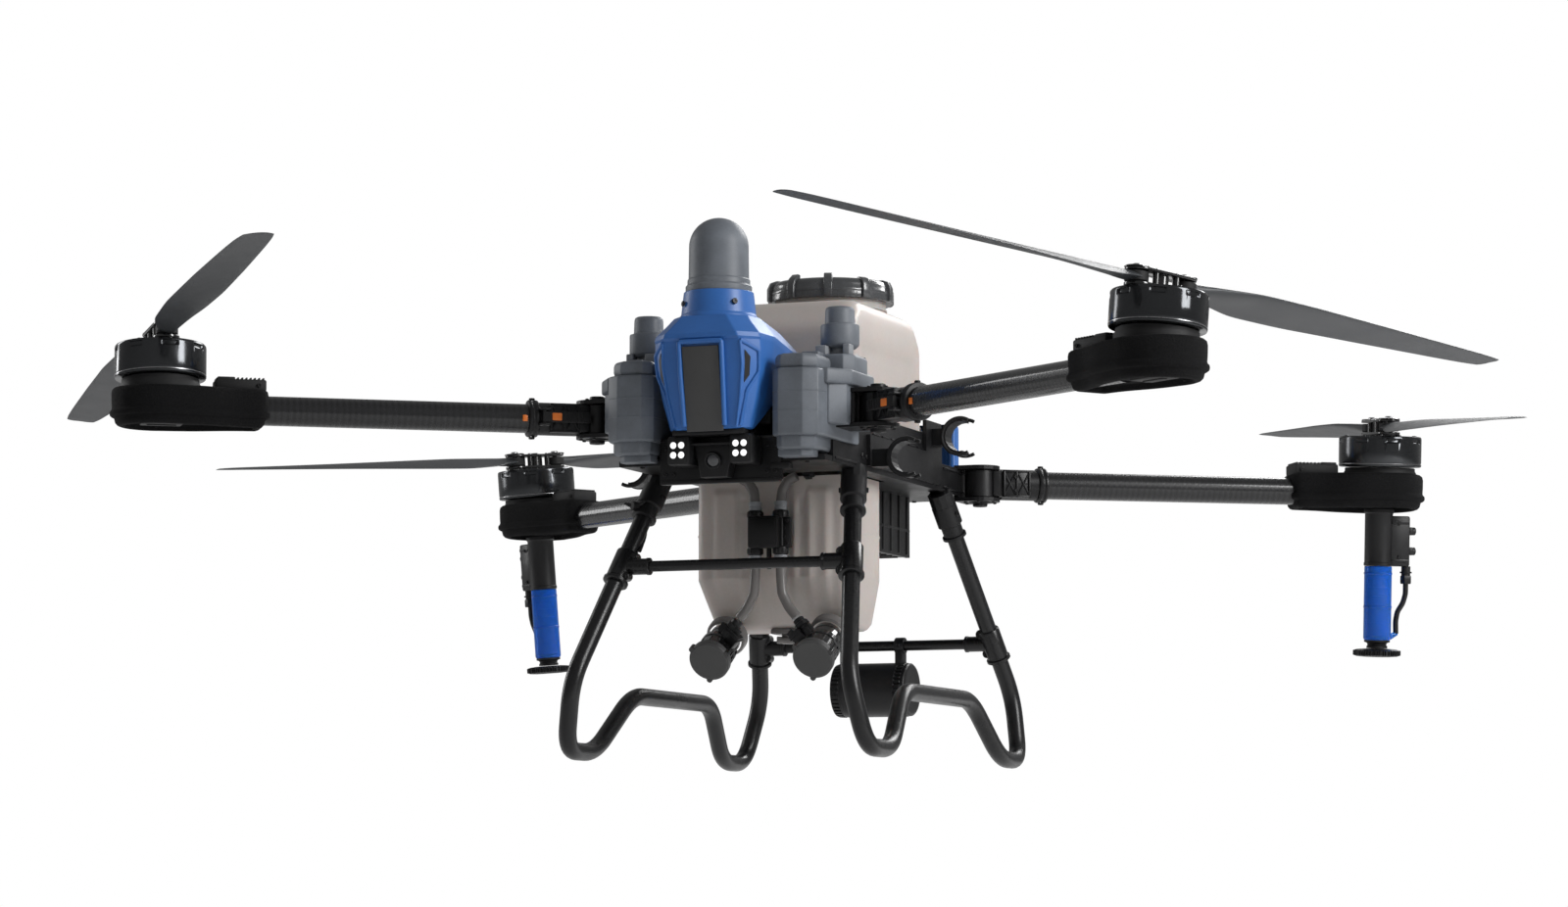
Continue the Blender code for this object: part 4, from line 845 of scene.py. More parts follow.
# ---- landing gear --------------------------------------------------------------------------
LEG_TOP = np.array((0.145, 0.187, 0.37))
KINKS = {"front": np.array((0.199, -0.356, 0.093)), "rear": np.array((0.199, 0.345, 0.093))}
BRACE_HEIGHTS = {"front": 0.253, "rear": 0.171}


def leg_point(end, side, height):
    """A point of a straight upper leg at a height, and the leg's downward heading."""
    top = LEG_TOP * (1, -1 if end == "front" else 1, 1)
    run = KINKS[end] - top
    point = top + run * (top[2] - height) / (top[2] - KINKS[end][2])
    mirror = np.array((side, 1, 1))
    return point * mirror, unit(run) * mirror


def skid_path(side):
    corners = [leg_point("front", 1, 0.3695)[0], KINKS["front"], (0.216, -0.335, 0),
               (0.216, -0.24, 0), (0.2, -0.145, 0.082), (0.2, 0.145, 0.082), (0.216, 0.232, 0),
               (0.216, 0.32, 0), KINKS["rear"], leg_point("rear", 1, 0.3695)[0]]
    return soft(np.array(corners, float) * (side, 1, 1), 0.034, 9)


def collar(at, along, rows, sides=36):
    """A turned sleeve of (radius, distance) rows round a tube at a point."""
    return turned(rows, sides, GROUND @ frame_at(at, along, (0.2, 0.4, 0.9)), ring=True)


def make_landing_gear(sizes):
    radius = sizes.leg_radius
    for word, side in SIDES:
        piece(f"skid_tube_{word}", [tube(skid_path(side), radius, 32, up=(side, 0.02, 0.01))],
              "coated tube", "root", (f"skid_{word}",), 50)
        shells = []
        for end in ("front", "rear"):
            point, run = leg_point(end, side, 0.347)
            shells.append(collar(point, run, [(radius, -0.022), (0.0182, -0.022), (0.0182, 0.008),
                                              (0.015, 0.01), (0.015, 0.024), (0.0178, 0.025),
                                              (0.0178, 0.029), (0.015, 0.03), (radius, 0.03)]))
            across = unit(np.cross(run, (0, 0, 1))) * (1 if end == "front" else -1)
            for out in (across, -across):
                shells.append(screw(point + out * 0.018 + run * -0.008, out, 0.0036, 0.0025))
        piece(f"leg_collars_{word}", shells, "satin black", "root", slot="tube_black")
    for end in ("front", "rear"):
        height = BRACE_HEIGHTS[end]
        joint, _ = leg_point(end, 1, height)
        shells = [rod((-joint[0] + 0.02, joint[1], height), (joint[0] - 0.02, joint[1], height),
                      0.0075, 28)]
        for word, side in SIDES:
            point, run = leg_point(end, side, height)
            shells.append(collar(point, run,
                                 [(radius, -0.0235), (0.0146, -0.0235), (0.0156, -0.022),
                                  (0.0156, 0.0195), (0.015, 0.02), (0.015, 0.0215),
                                  (0.0178, 0.0225), (0.0178, 0.0262), (0.0166, 0.0272),
                                  (radius, 0.0272)]))
            inward = np.array((-side, 0.0, 0.0))
            stem = GROUND @ frame_at(point, inward, (0, 0, 1))
            shells.append(turned([(0.0112, 0.008), (0.0112, 0.038), (0.012, 0.0385),
                                  (0.012, 0.042), (0.0104, 0.043), (0.007, 0.043)], 32, stem))
            front = np.array((0.0, -1.0 if end == "front" else 1.0, 0.0))
            for along in (-0.0155, 0.0165):
                lug = point + run * along + inward * 0.0135
                shells.append(rod(lug - front * 0.0065, lug + front * 0.0085, 0.0068, 20))
                shells.append(block(lug - (0.005, 0.0055, 0.005), lug + (0.005, 0.0055, 0.005),
                                    0.0015))
                shells.append(screw(lug + front * 0.0082, front, 0.0038, 0.002))
            for along in (0.02, 0.032):
                shells.append(screw(point + inward * along + front * 0.0112, front, 0.003, 0.0014))
        piece(f"brace_{end}", shells, "coated tube", "root", (f"{end}_cross_brace",), 40)
    knob, run = leg_point("front", -1, 0.338)
    out = np.array((-0.55, -0.8, 0.1))
    tee, _ = leg_point("front", -1, 0.272)
    hub = knob + out * 0.021
    shells = [rod(knob, hub, 0.005, 16), rod(hub - out * 0.004, hub + out * 0.006, 0.0062, 20),
              tube(soft([hub + (-0.016, 0, 0.004), hub + (-0.006, 0, 0.001),
                         hub + (0.006, 0, 0.0015), hub + (0.015, 0, 0.007)], 0.004),
                   [0.0016] + [0.003] * 10 + [0.0016], 12, up=(0, 1, 0.2)),
              tube(soft([hub + (0.01, 0.016, -0.012), hub + (0.008, 0.016, -0.04),
                         tee + (0.016, 0.004, 0.004)], 0.012), 0.0026, 12)]
    piece("leg_lock_wing", shells, "soft black", "root", slot="tube_black")


def make_radar():
    """A drum turned about X, both rims cut by slots where cos(36 turn) is over 0.2."""
    centre = np.array((0.0, leg_point("rear", 1, 0.171)[0][1], 0.106))
    x = np.array([-0.0582, -0.0585, -0.0575, -0.054, -0.046, -0.0455, -0.042, -0.0415, 0.04,
                  0.0405, 0.0425, 0.043, 0.0505, 0.051, 0.056, 0.058, 0.0585, 0.0582])
    r = np.array([0.025, 0.034, 0.0385, 0.0397, 0.04, 0.0392, 0.0392, 0.0398, 0.0398,
                  0.0385, 0.0385, 0.0398, 0.0398, 0.0393, 0.039, 0.037, 0.033, 0.025])
    turn = np.arange(360) * TAU / 360
    slot = ((x > 0.042) & (x < 0.0507))[:, None] * (np.cos(36 * turn) > 0.2)[None, :]
    slot = slot + ((x < -0.0457) & (x > -0.056))[:, None] * (np.cos(36 * turn) > 0.2)[None, :]
    wall = r[:, None] - 0.0022 * slot
    points = centre + np.stack([x[:, None] + 0 * wall, wall * np.cos(turn), wall * np.sin(turn)],
                               axis=-1)
    shells = [surface(points)]
    brace = centre + (0, 0, 0.065)
    for offset in (-0.04, 0.04):
        at = brace + (offset, 0, 0)
        shells.append(turned([(0.008, -0.007), (0.0118, -0.007), (0.0122, -0.006),
                              (0.0122, 0.006), (0.0118, 0.007), (0.008, 0.007)], 32,
                             GROUND @ frame_at(at, (1, 0, 0)), ring=True))
        shells.append(block(at + (-0.0058, -0.011, -0.03), at + (0.0058, 0.011, -0.006), 0.002))
        for front in (-1, 1):
            shells.append(screw(at + (0, front * 0.0118, 0), (0, front, 0), 0.0032, 0.0018))
    piece("radar_drum", shells, "satin black", "root", ("terrain_radar",), 40)


# ---- tank ----------------------------------------------------------------------------------
def rounded_ring(low, high, radius, count=9):
    """A rectangle in plan with quarter-circle corners, counter-clockwise from its right side."""
    a = np.linspace(0, TAU / 4, count)
    parts = []
    for sx, sy, start in ((1, 1, 0), (-1, 1, 1), (-1, -1, 2), (1, -1, 3)):
        cx = high[0] - radius if sx > 0 else low[0] + radius
        cy = high[1] - radius if sy > 0 else low[1] + radius
        turn = a + start * TAU / 4
        parts.append(np.stack([cx + radius * np.cos(turn), cy + radius * np.sin(turn)], axis=1))
    return np.vstack(parts)


def step_in(values, low, high, width):
    """1 between low and high, falling to 0 over width at each end."""
    rise = np.clip((values - low) / width + 0.5, 0, 1) * np.clip((high - values) / width + 0.5, 0,
                                                                 1)
    return rise * rise * (3 - 2 * rise)


def tank_wall(z, low, high, radius, fine):
    """One level of a tank: corners as quarter circles, long sides cut into even steps."""
    ring = rounded_ring(low, high, radius, 7)
    pieces = []
    for start in range(0, 28, 7):
        corner = ring[start:start + 7]
        after = ring[(start + 7) % 28]
        share = np.linspace(0, 1, fine + 2)[1:-1, None]
        pieces += [corner, corner[-1] + (after - corner[-1]) * share]
    flat = np.vstack(pieces)
    return np.column_stack([flat, np.full(len(flat), z)])


FILLER = (0, 0.113, 0)      # axis of the filler neck and its cap


def make_tank():
    """Leg and bulk as stacked rounded rectangles; the front face carries raised panels.

    A front point moves out by 4.2 mm where |x| is 52 to 86 mm and z is 0.236 to 0.366, in by
    2.2 mm at four narrow keyholes, out by 1.5 mm on the ribs between them, and in by 4.5 mm in
    the middle channel behind the hoses. A belt and broad shallow fields mark the sides.
    """
    levels = [(0.1734, 0.094, -0.066, 0.0, 0.01), (0.176, 0.1, -0.074, 0.004, 0.016),
              (0.183, 0.1055, -0.083, 0.0075, 0.018), (0.21, 0.1105, -0.1005, 0.0085, 0.018)]
    levels += [(z, 0.1168, -0.1198, 0.0088, 0.018) for z in bow(60, 0.243, 0.384)]
    rings = [tank_wall(z, (-h, f), (h, r), c, 48) for z, h, f, r, c in levels]
    points = np.stack(rings)
    x, y, z = points[..., 0], points[..., 1], points[..., 2]
    front = np.clip((-0.112 - y) / 0.004, 0, 1) * (z > 0.235)
    panel = step_in(np.abs(x), 0.052, 0.086, 0.007) * step_in(z, 0.236, 0.366, 0.012)
    panel *= 1 - 0.35 * step_in(np.abs(x), 0.06, 0.074, 0.008)
    key = step_in(np.abs(x), 0.0415, 0.0462, 0.003) * (step_in(z, 0.333, 0.356, 0.004)
                                                      + step_in(z, 0.246, 0.262, 0.004))
    rib = step_in(np.abs(x), 0.03, 0.0355, 0.003) * step_in(z, 0.262, 0.35, 0.006)
    channel = step_in(np.abs(x), -0.001, 0.027, 0.01) * step_in(z, 0.2, 0.4, 0.03)
    move = front * (0.0042 * panel - 0.0022 * np.minimum(key, 1) + 0.0015 * rib - 0.0045 * channel)
    side = np.clip((np.abs(x) - 0.11) / 0.004, 0, 1) * (z > 0.2)
    belt = side * (step_in(z, 0.3035, 0.3065, 0.003) - 0.8 * step_in(y, -0.095, -0.02, 0.012)
                   * step_in(z, 0.25, 0.362, 0.012))
    points = points + np.stack([np.sign(x) * 0.0012 * belt, -move, 0 * z], axis=-1)
    leg = surface(points)
    bulk = [(0.3936, 0.108, -0.11, 0.172, 0.016), (0.396, 0.1135, -0.116, 0.177, 0.018),
            (0.403, 0.1168, -0.1195, 0.1795, 0.018)]
    bulk += [(z, 0.1178, -0.12, 0.18, 0.018) for z in bow(24, 0.41, 0.584)]
    bulk += [(0.594, 0.1172, -0.1185, 0.1792, 0.02), (0.606, 0.115, -0.108, 0.1775, 0.022),
             (0.618, 0.1125, -0.0925, 0.174, 0.022), (0.627, 0.1075, -0.081, 0.17, 0.022),
             (0.633, 0.1015, -0.071, 0.165, 0.022), (0.637, 0.093, -0.06, 0.156, 0.02)]
    rings = [tank_wall(z, (-h, f), (h, r), c, 28) for z, h, f, r, c in bulk]
    points = np.stack(rings)
    x, y, z = points[..., 0], points[..., 1], points[..., 2]
    side = np.clip((np.abs(x) - 0.112) / 0.004, 0, 1)
    field = side * step_in(y, -0.08, 0.14, 0.014) * step_in(z, 0.44, 0.57, 0.014)
    rear = np.clip((y - 0.174) / 0.004, 0, 1) * step_in(np.abs(x), -1, 0.08, 0.014)
    rear *= step_in(z, 0.44, 0.57, 0.014)
    points = points + np.stack([-np.sign(x) * 0.0028 * field, -0.0028 * rear, 0 * z], axis=-1)
    piece("tank_leg", [leg], "milky tank", "root", (), 60)
    piece("tank_bulk", [surface(points)], "milky tank", "root", ("tank",), 60)
    neck = [turned([(0.05, 0.63), (0.07, 0.612), (0.0786, 0.628), (0.082, 0.633),
                    (0.0806, 0.637), (0.08, 0.64), (0.08, 0.664), (0.0788, 0.6649),
                    (0.0772, 0.6649), (0.0765, 0.664), (0.0765, 0.63)], 96, at=FILLER)]
    neck += [turned([(0.0795, 0.644), (0.0818, 0.6446), (0.0818, 0.647), (0.0795, 0.6476)], 96,
                    at=FILLER, ring=True)]
    piece("tank_neck", neck, "milky tank", "root", (), 50)
    # Painted shade: the seats behind the pumps and the foot under the tank take the darker
    # clear-hose finish in place of the tank's own.
    foot = [turned([(0.024, -0.002), (0.0275, 0.0), (0.029, 0.004), (0.029, 0.012),
                    (0.0275, 0.014)], 48, GROUND @ pump_frame(side) @ frame_at((0, 0, 0.072)),
                   ring=True) for _, side in SIDES]
    foot += [block((-0.02, -0.078, 0.168), (0.02, -0.04, 0.176), 0.003),
             rod((0, -0.06, 0.155), (0, -0.06, 0.172), 0.0085, 20),
             rod((-0.012, -0.072, 0.16), (0.014, -0.06, 0.16), 0.005, 16)]
    piece("tank_foot_seats_painted_shade", foot, "clear hose", "root", slot="tank_milky")


def make_cap():
    """A turned cap whose rim carries ten bent lugs; two of them stand up as grips."""
    at = FILLER
    shells = [turned([(0.0812, 0.6575), (0.088, 0.656), (0.0898, 0.6572), (0.0906, 0.66),
                      (0.0902, 0.666), (0.0908, 0.6668), (0.0908, 0.67), (0.09, 0.671),
                      (0.0892, 0.677), (0.087, 0.682), (0.0828, 0.6852), (0.078, 0.686),
                      (0.0735, 0.6856), (0.07, 0.6835), (0.0682, 0.6812), (0.06, 0.6803),
                      (0.03, 0.6803), (0.002, 0.6803)], 128, at=at)]
    for ring in (0.03, 0.05):
        shells.append(turned([(ring - 0.0015, 0.68), (ring - 0.001, 0.6818), (ring + 0.001, 0.6818),
                              (ring + 0.0015, 0.68)], 96, at=at, ring=True))
    for index in range(10):
        place = GROUND @ frame_at(at) @ frame_at((0, 0, 0), (0, 0, 1),
                                                 (math.cos(index * TAU / 10),
                                                  math.sin(index * TAU / 10), 0))
        low = 0.6566
        rise = 0.004 if index in (7, 8) else 0.0
        line = [(0.087, low), (0.092, low), (0.0942, low + 0.003), (0.0942, 0.676), (0.09, 0.685),
                (0.082, 0.6878 + rise), (0.077, 0.6878 + rise), (0.077, 0.68), (0.086, 0.678)]
        path = place @ np.array(((1, 0, 0, 0), (0, 0, -1, 0), (0, 1, 0, 0), (0, 0, 0, 1)), float)
        shells.append(prism(line, -0.0062, 0.0062, 0.0014, path))
    for index in range(60):
        turn = (index + 0.5) * TAU / 60
        spoke = np.array((math.cos(turn), math.sin(turn), 0.0))
        start = np.array(at) + (0, 0, 0.6572) + spoke * 0.0895
        shells.append(rod(start, start + (0, 0, 0.0085), 0.0011, 8))
    piece("cap_shell", shells, "smoke cap", "filler_cap", ("tank_cap",), 40)


# ---- pumps and hoses -----------------------------------------------------------------------
PUMP_RUN = np.array((0, math.cos(math.radians(30)), math.sin(math.radians(30))))
RISER_Y = -0.137        # plane of both riser hoses


def pump_face(side):
    """The middle of a pump's front cap."""
    return np.array((side * 0.0765, -0.166, 0.126))


def pump_frame(side):
    """At the pump's front cap, Z along the pump, rising 30 degrees to the rear."""
    return frame_at(pump_face(side), PUMP_RUN, (1, 0, 0))


def make_pumps():
    for word, side in SIDES:
        place = GROUND @ pump_frame(side)
        cap = [turned([(0.002, 0.0), (0.0262, 0.0), (0.027, 0.0006), (0.0272, 0.002)], 72, place),
               turned([(0.0268, 0.0008), (0.0285, 0.001), (0.029, 0.002), (0.029, 0.0105),
                       (0.0282, 0.0115), (0.0262, 0.0118)], 72, place, ring=True)]
        piece(f"pump_cap_{word}", cap, "window grey", "root", slot="moulded_black")
        shells = []
        for turn in (math.radians(100), math.radians(220), math.radians(340)):
            spot = (0.029 * math.cos(turn), 0.029 * math.sin(turn), 0.0)
            shells.append(turned([(0.004, 0.0004), (0.004, 0.011), (0.003, 0.012)], 18, place,
                                 spot))
        shells += [turned([(0.024, 0.011), (0.0258, 0.0125), (0.0258, 0.03), (0.0245, 0.0315),
                           (0.0245, 0.0345), (0.0262, 0.036), (0.0262, 0.044), (0.024, 0.046),
                           (0.0222, 0.06), (0.0222, 0.07), (0.018, 0.076)], 64, place)]
        for turn in np.arange(12) * TAU / 12:
            c, s = math.cos(turn), math.sin(turn)
            shells.append(rod((0.0256 * c, 0.0256 * s, 0.013), (0.0256 * c, 0.0256 * s, 0.03),
                              0.0014, 8, place=place))
        piece(f"pump_body_{word}", shells, "gloss black", "root", (f"pump_{word}",), 40)
        start = pump_face(side) + PUMP_RUN * 0.032
        end = np.array((side * 0.045, RISER_Y, 0.183))
        run = unit(end - start)
        top = GROUND @ frame_at(end, run, (0, 1, 0))
        shells = [rod(start + run * 0.018, end + run * 0.0015, 0.008, 28),
                  turned([(0.0082, -0.03), (0.0105, -0.029), (0.0105, -0.018), (0.009, -0.017),
                          (0.009, -0.0125), (0.0108, -0.0115), (0.0108, -0.006), (0.0086, -0.005)],
                         10, top, ring=True),
                  block((-0.0075, -0.01, -0.026), (0.0075, 0.016, -0.012), 0.002, top)]
        aside = np.array((-side * 0.7, -0.3, 0.62))
        plug = GROUND @ frame_at(start + run * 0.012 + (-side * 0.018, -0.006, 0.004), aside,
                                 (0, 1, 0))
        shells += [block((-0.0065, -0.0085, -0.01), (0.0065, 0.0085, 0.015), 0.0015, plug),
                   block((-0.008, -0.01, 0.008), (0.008, 0.01, 0.011), 0.001, plug),
                   block((-0.004, -0.003, 0.012), (0.004, 0.007, 0.02), 0.001, plug)]
        piece(f"pump_elbow_{word}", shells, "satin black", "root")


def make_hoses(sizes):
    for word, side in SIDES:
        knots = np.array([(x, RISER_Y, z) for x, z in (
            (0.0425, 0.187), (0.031, 0.201), (0.021, 0.22), (0.019, 0.245), (0.019, 0.3),
            (0.019, 0.348), (0.0215, 0.364), (0.03, 0.3765), (0.042, 0.383))])
        t = np.arange(len(knots))
        fine = np.linspace(0, len(knots) - 1, 90)
        path = np.column_stack([eased(fine, t, knots[:, axis]) for axis in range(3)]) * (side, 1, 1)
        piece(f"riser_{word}", [tube(path, sizes.hose_radius, 28, up=(0, 1, 0))], "clear hose",
              "root", (f"riser_hose_{word}",), 60)
        shells = []
        for height, up in ((0.3255, 1), (0.2845, -1)):
            place = GROUND @ frame_at((side * 0.019, RISER_Y, height), (0, 0, up))
            shells.append(turned([(0.0076, 0.0), (0.0106, 0.0), (0.0108, 0.0015), (0.0108, 0.0085),
                                  (0.01, 0.01), (0.0076, 0.0105)], 14, place, ring=True))
            for turn in np.arange(14) * TAU / 14:
                c, s = math.cos(turn), math.sin(turn)
                shells.append(rod((0.0106 * c, 0.0106 * s, 0.001), (0.0106 * c, 0.0106 * s, 0.009),
                                  0.0008, 6, place=place))
        piece(f"hose_nuts_{word}", shells, "satin black", "root")
        bands = []
        for height, up in ((0.336, 1), (0.274, -1)):
            place = GROUND @ frame_at((side * 0.019, RISER_Y, height), (0, 0, up))
            bands.append(turned([(0.0072, 0.0), (0.009, 0.0004), (0.009, 0.005), (0.0084, 0.0056),
                                 (0.0084, 0.007), (0.009, 0.0076), (0.009, 0.012),
                                 (0.0072, 0.0126)], 32, place, ring=True))
        piece(f"hose_bands_{word}", bands, "light cover grey", "root", slot="hose_clear")
    meter = [block((-0.022, -0.16, 0.283), (0.022, -0.1385, 0.327), 0.0022),
             block((-0.019, -0.1615, 0.286), (0.019, -0.159, 0.324), 0.001),
             block((0.02, -0.143, 0.284), (0.0345, -0.133, 0.326), 0.0015),
             block((-0.0275, -0.143, 0.293), (-0.02, -0.133, 0.318), 0.0015),
             rod((0.0225, -0.144, 0.285), (0.0225, -0.144, 0.325), 0.003, 14),
             rod((0.0, -0.133, 0.255), (0.0, -0.133, 0.284), 0.0035, 16)]
    for height in (0.289, 0.321):
        meter.append(screw((0.03, -0.143, height), (0, -1, 0), 0.003, 0.0018))
    for height in (0.299, 0.311):
        meter.append(screw((0.0262, -0.143, height), (0, -1, 0), 0.0022, 0.0012))
    piece("meter_case", meter, "satin black", "root", ("flow_meter",))


# ---- nose, lamps and covers ----------------------------------------------------------------
COWL = np.array([  # height, front corner, side corner, front, widest, back, chamfer
    (0.4262, 0.054, 0.056, -0.3635, -0.348, -0.335, 0.012),
    (0.4275, 0.057, 0.059, -0.3665, -0.348, -0.335, 0.014),
    (0.468, 0.068, 0.071, -0.374, -0.33, -0.289, 0.017),
    (0.511, 0.076, 0.0775, -0.3805, -0.323, -0.288, 0.02),
    (0.53, 0.077, 0.0785, -0.383, -0.32, -0.276, 0.021),
    (0.544, 0.0765, 0.0785, -0.385, -0.318, -0.235, 0.022),
    (0.5475, 0.0765, 0.0785, -0.3885, -0.316, -0.196, 0.023),
    (0.5535, 0.075, 0.0775, -0.389, -0.314, -0.188, 0.024),
    (0.556, 0.073, 0.076, -0.3875, -0.314, -0.189, 0.024),
    (0.569, 0.061, 0.066, -0.38, -0.316, -0.21, 0.022),
    (0.579, 0.0535, 0.058, -0.3745, -0.32, -0.235, 0.022)])


def cowl_level(z, half, widest, front, middle, back, chamfer):
    """One level: flat front, chamfer, flank and back, drooping 0.18 of its run behind -0.30."""
    corners = [(half - chamfer, front), (half, front + chamfer * 1.1), (widest, middle),
               (widest * 0.97, back), (-widest * 0.97, back), (-widest, middle),
               (-half, front + chamfer * 1.1), (-half + chamfer, front)]
    flat = soft(np.asarray(corners, float), 0.0022, 3, closed=True)
    droop = 0.18 * np.maximum(flat[:, 1] + 0.3, 0.0)
    return np.column_stack([flat, z - droop])


def chamfer_point(side, share, z, lift=0.0):
    """A point on the cowl's front chamfer: a share across it at a height, lifted outwards."""
    half, front, chamfer = (np.interp(z, COWL[:, 0], COWL[:, index]) for index in (1, 3, 6))
    return np.array((side * (half - chamfer * (1 - share) + lift * 0.74),
                     front + chamfer * 1.1 * share - lift * 0.67, z))


DOME = (0, -0.321, 0)       # axis of the dome and the cowl's collar


def make_nose():
    """The cowl as levels of eight corners: chin, belt, brow ridge, upper facets and collar."""
    rings = [cowl_level(*level) for level in COWL]
    shells = [surface(np.stack(rings)),
              turned([(0.04, 0.569), (0.0538, 0.569), (0.0534, 0.579), (0.0524, 0.5825),
                      (0.0508, 0.585), (0.048, 0.61), (0.0474, 0.615), (0.0466, 0.6158),
                      (0.04, 0.6158)], 96, at=DOME)]
    slots = []
    for side in (1, -1):
        loop = [(0.04, 0.542), (0.88, 0.529), (0.93, 0.501), (0.4, 0.476), (0.3, 0.43)]
        shells.append(tube(soft([chamfer_point(side, share, z, 0.0004) for share, z in loop], 0.003,
                                3), 0.0026, 10, up=(0, 0, 1)))
        shells.append(tube(soft([chamfer_point(side, 0.04, z, 0.0004)
                                 for z in (0.542, 0.511, 0.47, 0.43)], 0.003, 3),
                           0.002, 10, up=(side, 0, 0)))
        rim = [(0.22, 0.486), (0.2, 0.529), (0.46, 0.52), (0.46, 0.496)]
        rim = rim if side > 0 else rim[::-1]
        slots.append(surface(np.stack([[chamfer_point(side, share, z, lift) for share, z in rim]
                                       for lift in (-0.002, 0.0012)])))
        slots.append(screw((side * 0.037, -0.356, 0.5985), (side * 0.72, -0.68, 0.1), 0.004,
                           0.0022))
    shells.append(tube(soft([(-0.029, -0.3715, 0.43), (-0.0305, -0.383, 0.5),
                             (-0.0305, -0.388, 0.542), (0.0305, -0.388, 0.542),
                             (0.0305, -0.383, 0.5), (0.029, -0.3715, 0.43)], 0.003, 3),
                       0.0034, 12, up=(0, 1, 0.1)))
    piece("cowl", shells, "cowl blue", "root", ("nose_shell",), 20)
    slots += [block((-0.052, -0.36, 0.419), (0.052, -0.323, 0.427), 0.002),
              block((-0.05, -0.318, 0.396), (0.05, -0.2, 0.44), 0.003),
              block((-0.062, -0.286, 0.438), (0.062, -0.196, 0.518), 0.004)]
    piece("cowl_slots", slots, "satin black", "root")
    window = [prism([(-0.0262, 0.0), (0.0262, 0.0), (0.0262, 0.1145), (-0.0262, 0.1145)], 0.0,
                    0.003, 0.0008,
                    GROUND @ frame_at((0, -0.3668, 0.423), (0, -0.9855, -0.1695), (1, 0, 0)))]
    piece("cowl_window", window, "window grey", "root", ("nose_window",))
    a = np.radians(np.linspace(0, 88, 20))
    profile = [(0.044, 0.612), (0.045, 0.615), (0.045, 0.6235), (0.0446, 0.6242), (0.0426, 0.6262),
               (0.0424, 0.6325), (0.0418, 0.6335), (0.041, 0.6342), (0.0404, 0.678)]
    profile += list(zip(0.0404 * np.cos(a), 0.6784 + 0.0398 * np.sin(a)))
    piece("dome", [turned(profile, 96, at=DOME)], "cover grey", "root", ("mast_dome",), 22)


def make_lamps():
    lens = GROUND @ frame_at((0, -0.338, 0.387), (0, -0.94, -0.34), (1, 0, 0))
    lights, cases = [], []
    for _, side in SIDES:
        x = side * 0.045
        cases += [block((x - 0.0165, -0.356, 0.38), (x + 0.0165, -0.3155, 0.42), 0.0045),
                  block((x - 0.0125, -0.3575, 0.3845), (x + 0.0125, -0.354, 0.4155), 0.0025),
                  block((x - 0.01, -0.33, 0.418), (x + 0.01, -0.32, 0.427), 0.002)]
        for dx in (-0.0058, 0.0058):
            for dz in (-0.0066, 0.0066):
                spot = GROUND @ frame_at((x + dx, -0.3572, 0.4 + dz), (0, -1, 0), (1, 0, 0))
                lights.append(turned([(0.0045, 0.0), (0.0045, 0.0008), (0.0036, 0.0018),
                                      (0.0016, 0.0023), (0.0004, 0.0023)], 24, spot))
                cases.append(turned([(0.0046, 0.0), (0.0052, 0.0), (0.0052, 0.0012),
                                     (0.0046, 0.0012)], 24, spot, ring=True))
    piece("lamp_cases", cases, "satin black", "root", ("headlamp_left", "headlamp_right"))
    piece("lamp_lights", lights, "lamp white", "root")
    hood = [prism([(-0.029, 0.409), (0.029, 0.409), (0.019, 0.364), (-0.019, 0.364)], 0, 0.022,
                  0.0015,
                  GROUND @ np.array(((1, 0, 0, 0), (0, 0, 1, -0.3385), (0, 1, 0, 0), (0, 0, 0, 1)),
                                    float)),
            prism([(-0.03, -0.348), (0.03, -0.348), (0.028, -0.33), (-0.028, -0.33)], 0.4065, 0.41,
                  0.001),
            turned([(0.0095, 0.0), (0.0118, 0.0), (0.0122, 0.0015), (0.0115, 0.005),
                    (0.0095, 0.0052)], 40, lens, ring=True),
            block((-0.03, -0.334, 0.392), (-0.0215, -0.326, 0.404), 0.001),
            block((0.0215, -0.334, 0.392), (0.03, -0.326, 0.404), 0.001)]
    piece("camera_hood", hood, "satin black", "root", ("camera",))
    a = np.radians(np.linspace(0, 86, 9))
    glass = [turned(list(zip(0.0098 * np.cos(a), 0.0016 + 0.004 * np.sin(a))), 40, lens)]
    piece("camera_glass", glass, "lens glass", "root")
    clips = []
    for x in (-0.055, 0.055):
        tip = GROUND @ frame_at((x, -0.1235, 0.388), (0, -0.35, -0.94), (1, 0, 0.25 * np.sign(x)))
        clips += [block((-0.0075, -0.006, -0.008), (0.0075, 0.006, 0.005), 0.0015, tip),
                  block((-0.005, -0.0045, 0.004), (0.005, 0.0045, 0.0085), 0.001, tip)]
    clips += [block((-0.11, -0.318, 0.3745), (-0.066, -0.3, 0.384), 0.002,
                    GROUND @ frame_at((0, 0, 0.005), (0.1, 0, 1))),
              block((0.072, -0.316, 0.3745), (0.1, -0.3, 0.384), 0.002)]
    piece("deck_clips", clips, "soft black", "root")


